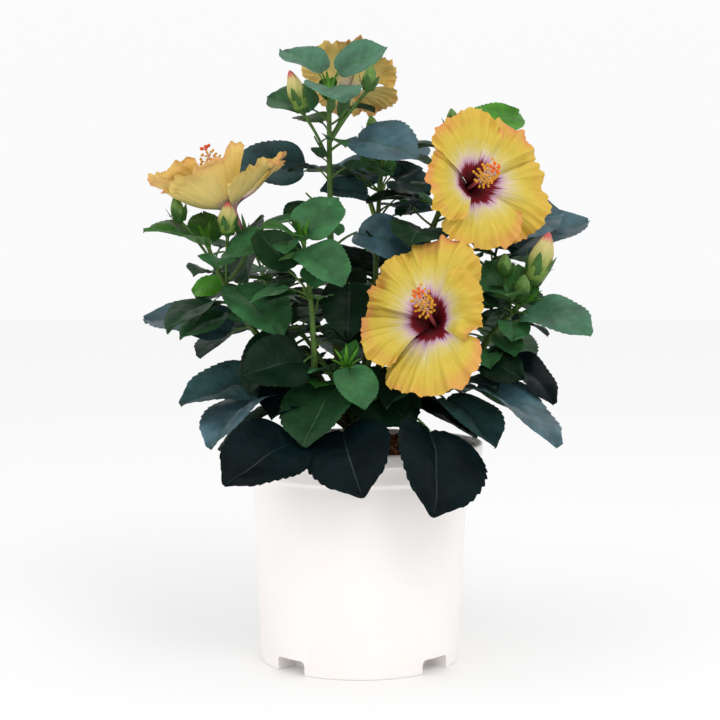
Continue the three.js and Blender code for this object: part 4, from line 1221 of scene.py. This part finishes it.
def add_petal(pile, bloom, shape, k, petal, draw):
    """One petal of two sheets: a narrow foot in the tube, fine pleats, and a broad frilled edge"""
    degrees, half_width, share, rise, stand = petal
    reach, cup, rim = bloom["petal"], rise * bloom["cup"], rise * (bloom["cup"] - bloom["droop"])
    throat, side, above, facing = bloom_basis(bloom)
    t, across = np.meshgrid(np.linspace(0, 1, PETAL_ROWS), np.linspace(-1, 1, PETAL_COLUMNS), indexing="ij")
    outward, upward = shape
    radius = through(PETAL_PATH, [2.2, 3.4, 0.07 * reach, *(share_of * reach for share_of in outward)], t)
    height = through(PETAL_PATH, [-31, -19, -3, upward[0] * cup, upward[1] * cup, upward[2] * rim], t)
    half = np.radians(np.interp(t, [0, 0.2, 1.0], [38, half_width, half_width]))
    phases = [6.28 * draw() for _ in range(9)]
    edge = smooth(0.42, 1.0, t)
    sweep = 0.05 * edge * np.sin(3 * across + phases[6])
    turn = math.radians(degrees) + across * half + sweep
    notches = 0.012 * frilled(across, phases[:5], True) * smooth(0.6, 1.0, t) ** 2
    lobes = 0.03 * np.sin(5 * across + phases[5]) - 0.16 * np.abs(across) ** 2.8
    distance = radius * (1 + (share - 1) * smooth(0.2, 0.8, t) + edge * lobes + notches)
    folds = 2.2 * np.abs(np.sin(3.4 * across + phases[7] + 0.9 * t)) * smooth(0.2, 0.55, t)
    pleats = 0.30 * np.sin(62 * across + phases[2]) + 0.22 * np.sin(37 * across + phases[1])
    ends = 1 - 0.75 * np.abs(across) ** 5 if shape is BOWL else 1
    ruffle = 2.7 * frilled(across, phases[4:], False) * edge ** 1.6 * ends + pleats * smooth(0.25, 0.7, t)
    ripple = 0.8 * np.sin(19 * t + 6 * across + phases[0]) * edge
    lap = 5.0 * across * smooth(0.12, 0.5, t)
    lean = math.radians(stand) * smooth(0.15, 0.45, t)
    ahead = distance - 0.07 * reach
    raised = height + 3 + lap + (ruffle + folds + ripple) * reach / 75
    distance = distance - ahead * (1 - np.cos(lean)) - raised * np.sin(lean)
    height = raised * np.cos(lean) + ahead * np.sin(lean) - 3
    grid = (
        throat
        + side * (np.cos(turn) * distance * bloom["breadth"])[..., None]
        + above * (np.sin(turn) * distance)[..., None]
        + facing * height[..., None]
    )
    normal = grid_normals(grid)
    normal = normal * np.sign(np.sum(normal[-12:] * facing, axis=-1).mean())
    back = grid - normal * (0.45 * (1 - np.abs(across) ** 6) * (1 - t ** 8))[..., None]
    marks = np.stack([(k + 0.5 + 0.5 * across) / LOBES, radius / reach], axis=-1)
    faces = grid_faces(*t.shape)
    # The quad in the middle of the outer edge tells which way the petal was laid out
    corner, following, _, before = grid.reshape(-1, 3)[faces[-(PETAL_COLUMNS // 2)]]
    if np.cross(following - corner, before - corner) @ facing < 0:
        faces = faces[:, TURNED]
    pile.add_sheets(grid, back, faces, 0, 1, marks)


# The anthers up a column, how far each is turned from the one before in radians, and the stigmas
ANTHERS = 56
GOLDEN_TURN = 2.39996
STIGMAS = 5
COLUMN_LOOKS = [
    soft("column pink", rgb(196, 92, 96)),
    soft("column pale", rgb(226, 170, 140)),
    soft("filament", rgb(236, 206, 176)),
    soft("anther", rgb(226, 160, 40), 0.7),
    soft("stigma", rgb(236, 100, 36), 0.6),
]


def add_column(pile, bloom, draw):
    throat, side, above, facing = bloom_basis(bloom)

    def path(t):
        t = np.asarray(t, dtype=float)
        along = mix(-20.0, COLUMN_LENGTH, t)[..., None]
        return throat + facing * along + np.array([0, 0, 4.0]) * (t ** 2)[..., None]

    add_tube(pile, path, lambda t: mix(1.9, 1.5, t), 0, sides=12, steps=10, end=0.55)
    add_tube(pile, path, lambda t: mix(1.7, 1.0, t), 1, sides=12, steps=10, start=0.53, end=0.97)
    for k in range(ANTHERS):
        t = 0.56 + 0.38 * (k + 0.5) / ANTHERS
        turn = GOLDEN_TURN * k
        out = side * math.cos(turn) + above * math.sin(turn)
        root = path(t) + out
        length = 5.0 + 3.6 * draw()
        tip = root + (out * (0.85 + 0.3 * draw()) + facing * (0.25 + 0.4 * draw())) * length
        add_tube(pile, bezier(root, root + out * length * 0.5, tip), lambda _: 0.25, 2, sides=5, steps=3)
        add_ball(pile, tip, 1.25, 3, axis=out + facing * (draw() - 0.5), stretch=1.35)
    crown = path(0.965)
    for k in range(STIGMAS):
        turn = 2 * math.pi * (k + 0.2) / STIGMAS
        out = side * math.cos(turn) + above * math.sin(turn)
        tip = crown + out * 4.2 + facing * 5.2
        add_tube(pile, bezier(crown, crown + facing * 3.8, tip), lambda _: 0.5, 4, sides=6, steps=4)
        add_ball(pile, tip, 1.75, 4, sides=10, rings=6)


PETAL_LOOKS = [petal_face(), petal_back()]
columns = Pile()
for name, bloom in BLOOMS.items():
    petals = Pile()
    draw = seeded(900 + len(name) * 31)
    for k, petal in enumerate(PETALS[name]):
        add_petal(petals, bloom, BOWL if name == "left" else OPEN, k, petal, draw)
    petals.build("petals_" + name, PETAL_LOOKS, "petals", ["bloom_" + name])
    add_column(columns, bloom, draw)
    facing = heading(bloom["face"], bloom["up"])
    calyx = np.array(bloom["calyx"], dtype=float)
    root = STEMS[bloom["on"]](bloom["at"])
    behind = calyx - facing * 0.4 * np.linalg.norm(calyx - root)
    stalk = bezier(root, behind, calyx + facing * 2)
    add_tube(green, stalk, lambda t: mix(1.9, 2.4, t), STALK, sides=10, steps=14)
    add_ball(green, calyx + facing * 2, 4.6, CALYX, axis=facing, sides=14, rings=8)
    add_lobes(calyx, facing, 5, 7.2, 25, 5.2, CALYX, 2.6, foot=0.55)
    add_lobes(calyx - facing, facing, 9, 5.6, 15, 1.2, CALYX, 6)

BLOOM_NODES = ["bloom_" + name for name in BLOOMS]
FOLIAGE_NODES = ["foliage_" + name for name in MASSES]
columns.build("columns_and_anthers", COLUMN_LOOKS, "petals", BLOOM_NODES)
for level, pile in leaf_piles.items():
    nodes = ["foliage_" + name for name in MASSES if level_of(name) == level]
    pile.build("leaves_" + level, LEAF_LOOKS, "foliage", nodes)
green.build("green_stems_and_buds", GREEN_LOOKS, "foliage", FOLIAGE_NODES + BLOOM_NODES)

# Limbs with bark relief

limbs = Pile()


def bark_relief(turn, t):
    return (
        0.22 * np.sin(5 * turn + 14 * t)
        + 0.16 * np.sin(9 * turn - 31 * t)
        + 0.14 * np.sin(3 * turn + 57 * t)
        + 0.35 * np.exp(-(((t * 6) % 1) - 0.5) ** 2 * 90)
    )


for name, bough in BOUGHS.items():
    foot, tip = bough["radius"]
    add_tube(limbs, BRANCHES[name], lambda t: mix(foot, tip, t), 0, sides=20, steps=48, relief=bark_relief)


def base_path(t):
    t = np.asarray(t, dtype=float)[..., None]
    start = np.array([*BASE_PLACE, BARK_TOP - 3.0])
    end = np.array([BASE_PLACE[0] + BASE_LEAN[0], BASE_PLACE[1] + BASE_LEAN[1], BASE_TOP])
    return start + (end - start) * t


def base_relief(turn, t):
    return ROOT_FLARE * np.exp(-7 * t) * (1 + 0.35 * np.cos(3 * turn)) + 1.6 * bark_relief(turn, t)


add_tube(limbs, base_path, lambda t: mix(BASE_FOOT_RADIUS, BASE_TOP_RADIUS, t), 0, sides=32, steps=40,
         relief=base_relief)
limbs.build("limbs_with_bark", [wood()], "stem", ["woody_base"] + ["bough_" + name for name in BOUGHS])

# Bark chips

CHIP_LOOKS = [
    bark_chip("chip orange", rgb(168, 104, 62)),
    bark_chip("chip brown", rgb(116, 74, 48)),
    bark_chip("chip dark", rgb(62, 44, 34)),
    bark_chip("chip pale", rgb(186, 142, 98)),
]

CHIPS = 3000
CHIP_SIZE = np.array([3.6, 2.4, 1.4])
CUBE = np.array([[x, y, z] for z in (-1, 1) for y in (-1, 1) for x in (-1, 1)], dtype=float)
CUBE_FACES = np.array([[0, 2, 3, 1], [4, 5, 7, 6], [0, 1, 5, 4], [2, 6, 7, 3], [0, 4, 6, 2], [1, 3, 7, 5]])


def bark_bed():
    """An uneven bed with loose chips on it"""
    rng = np.random.default_rng(5)
    pile = Pile()
    rings, spokes = 40, 96
    radius, turn = np.meshgrid(np.linspace(0.5, BAND_RADIUS - WALL - 0.5, rings),
                               full_turn(spokes), indexing="ij")
    level = BARK_TOP - 3.5 + rng.uniform(-1.2, 1.2, radius.shape)
    grid = np.stack([radius * np.cos(turn), radius * np.sin(turn), level], axis=-1)
    marks = np.stack([radius / 100, turn], axis=-1)
    pile.add(grid, grid_faces(rings, spokes, closed=True)[:, ::-1], 2, marks)
    for _ in range(CHIPS):
        away = math.sqrt(rng.random()) * (RIM_BORE - 8.5)
        turn = rng.uniform(0, 2 * math.pi)
        height = BARK_TOP - 2.0 + rng.uniform(-1.5, 3.2)
        centre = np.array([away * math.cos(turn), away * math.sin(turn), height])
        size = rng.uniform(0.6, 1.25) * CHIP_SIZE
        points = CUBE * size * rng.uniform(0.72, 1.15, CUBE.shape)
        spin, lean = rng.uniform(0, 6.28), rng.normal(0, 0.4, 2)
        c, s = math.cos(spin), math.sin(spin)
        points = points @ np.array([[c, s, 0], [-s, c, 0], [0, 0, 1]])
        points[:, 2] += points[:, 0] * lean[0] + points[:, 1] * lean[1]
        look = rng.choice([0, 1, 2, 3], p=[0.38, 0.3, 0.17, 0.15])
        pile.add(points + centre, CUBE_FACES, look, np.zeros((8, 2)))
    pile.build("bark_chips", CHIP_LOOKS, "bark", ["bark_filling"], sharp=30)


bark_bed()

# The pot: turned from the source's profile, with rounder edges, and notched at its foot

POT_SIDES = 144
EDGE_ROUND = 1.6
POT_OUTSIDE = [
    [0.01, 0],
    [BODY_FOOT_RADIUS, 0],
    [BODY_TOP_RADIUS, BAND_FOOT - 3],
    [BAND_RADIUS, BAND_FOOT + 0.3],
    [BAND_RADIUS, POT_HEIGHT - RIM_DEPTH],
    [RIM_RADIUS, POT_HEIGHT - RIM_DEPTH + 0.2],
    [RIM_RADIUS, POT_HEIGHT],
]
POT_INSIDE = [
    [RIM_BORE, POT_HEIGHT],
    [RIM_BORE, POT_HEIGHT - RIM_DEPTH + 2],
    [BAND_RADIUS - WALL, POT_HEIGHT - RIM_DEPTH - 1],
    [BAND_RADIUS - WALL, BAND_FOOT + 2.5],
    [BODY_TOP_RADIUS - WALL, BAND_FOOT - 1.5],
    [BODY_FOOT_RADIUS - WALL, FLOOR],
    [0.01, FLOOR],
]


def mesh_object(name, points, faces):
    mesh = bpy.data.meshes.new(name)
    mesh.from_pydata((np.asarray(points) * MM).tolist(), [], [list(map(int, face)) for face in faces])
    mesh.update()
    return add_object(name, mesh)


def rounded(points, radius, steps=4):
    """The corners of a profile rounded off, each by at most the radius"""
    points = [np.array(p, dtype=float) for p in points]
    made = [points[0]]
    for before, corner, after in zip(points, points[1:], points[2:]):
        reach = min(radius, 0.45 * np.linalg.norm(before - corner), 0.45 * np.linalg.norm(after - corner))
        start = corner + unit(before - corner) * reach
        end = corner + unit(after - corner) * reach
        for t in np.linspace(0, 1, steps):
            made.append((1 - t) ** 2 * start + 2 * t * (1 - t) * corner + t ** 2 * end)
    made.append(points[-1])
    return made


def turned(name, profile):
    """A closed body turned from a profile that starts and ends at the axis"""
    radius, height = np.array(rounded(profile, EDGE_ROUND), dtype=float).T
    turn = full_turn(POT_SIDES)
    level = np.broadcast_to(height[:, None], (len(height), POT_SIDES))
    grid = np.stack([radius[:, None] * np.cos(turn), radius[:, None] * np.sin(turn), level], axis=-1)
    faces = grid_faces(len(height), POT_SIDES, closed=True).tolist()
    foot = list(range(POT_SIDES))
    top = [(len(height) - 1) * POT_SIDES + i for i in foot]
    return mesh_object(name, grid.reshape(-1, 3), faces + [foot[::-1], top])


def notch_block(name, turn, grow, start, end):
    half = NOTCH_WIDTH / 2 + grow
    height = NOTCH_HEIGHT + grow
    shape = rounded([[half, -5], [half, height], [-half, height], [-half, -5]], NOTCH_CORNER, 7)
    outward = heading(turn, 0)
    across = np.cross(Z, outward)
    points = [across * x + Z * y + outward * z for z in (start, end) for x, y in shape]
    n = len(shape)
    faces = [[i, (i + 1) % n, n + (i + 1) % n, n + i] for i in range(n)]
    faces += [list(range(n))[::-1], list(range(n, 2 * n))]
    return mesh_object(name, points, faces)


def combine(body, other, kind):
    change = body.modifiers.new(kind, "BOOLEAN")
    change.operation = kind
    change.solver = "MANIFOLD"
    change.object = other
    bpy.context.view_layer.update()
    made = bpy.data.meshes.new_from_object(body.evaluated_get(bpy.context.evaluated_depsgraph_get()))
    body.modifiers.clear()
    body.data = made
    bpy.data.objects.remove(other)


def nursery_pot():
    body = turned("nursery_pot", POT_OUTSIDE + POT_INSIDE)
    for i in range(NOTCHES):
        turn = FIRST_NOTCH + 360 * i / NOTCHES
        start = BODY_FOOT_RADIUS - NOTCH_DEPTH
        housing = notch_block("housing", turn, WALL, start - WALL, RIM_RADIUS)
        combine(housing, turned("envelope", POT_OUTSIDE + [[0.01, POT_HEIGHT]]), "INTERSECT")
        combine(body, housing, "UNION")
        combine(body, notch_block("opening", turn, 0, start, RIM_RADIUS), "DIFFERENCE")
    body.data.materials.clear()
    body.data.materials.append(pot_plastic())
    soften(body.data, 40)
    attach(body, "root")
    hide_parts("pot")


nursery_pot()

# The studio

FLOOR_REACH = 8000
corners = [(FLOOR_REACH * x, FLOOR_REACH * y, 0) for x, y in ((-1, -1), (1, -1), (1, 1), (-1, 1))]
floor = mesh_object("floor", corners, [range(4)])
floor.data.materials.append(Shader("studio white", 0.9, 0.1).finish(grey(0.94)))


def studio_world():
    """Soft light from all round, a little stronger from above"""
    world = bpy.data.worlds.new("studio")
    bpy.context.scene.world = world
    world.use_nodes = True
    nodes, links = world.node_tree.nodes, world.node_tree.links
    direction = nodes.new("ShaderNodeTexCoord").outputs["Generated"]
    split = nodes.new("ShaderNodeSeparateXYZ")
    links.new(direction, split.inputs["Vector"])
    ramp = nodes.new("ShaderNodeValToRGB")
    low, high = ramp.color_ramp.elements
    low.position, low.color = 0.1, (0.96, 0.96, 0.97, 1.0)
    high.position, high.color = 0.9, (1.0, 1.0, 1.0, 1.0)
    links.new(split.outputs["Z"], ramp.inputs["Fac"])
    links.new(ramp.outputs["Color"], nodes["Background"].inputs["Color"])
    nodes["Background"].inputs["Strength"].default_value = 1.0


def soft_light(name, place, target, size, power, color):
    lamp = bpy.data.lights.new(name, "AREA")
    lamp.shape = "RECTANGLE"
    lamp.size, lamp.size_y = size
    lamp.energy = power
    lamp.color = color
    made = add_object(name, lamp)
    made.location = place
    made.rotation_euler = (Vector(target) - Vector(place)).to_track_quat("-Z", "Y").to_euler()


studio_world()
soft_light("key", place=(0.7, -1.5, 1.7), target=(0, 0, 0.35), size=(0.9, 0.9), power=9,
           color=(1.0, 0.985, 0.96))
soft_light("fill", place=(-1.4, -1.3, 0.9), target=(0, 0, 0.3), size=(1.0, 1.0), power=3.5,
           color=(0.95, 0.98, 1.0))

camera = add_object("camera", bpy.data.cameras.new("camera"))
camera.location = EYE * MM
camera.rotation_euler = (math.radians(CAMERA_TURN), 0, 0)
camera.data.lens = LENS
camera.data.sensor_width = SENSOR
bpy.context.scene.camera = camera
bpy.context.scene.view_settings.view_transform = "Standard"
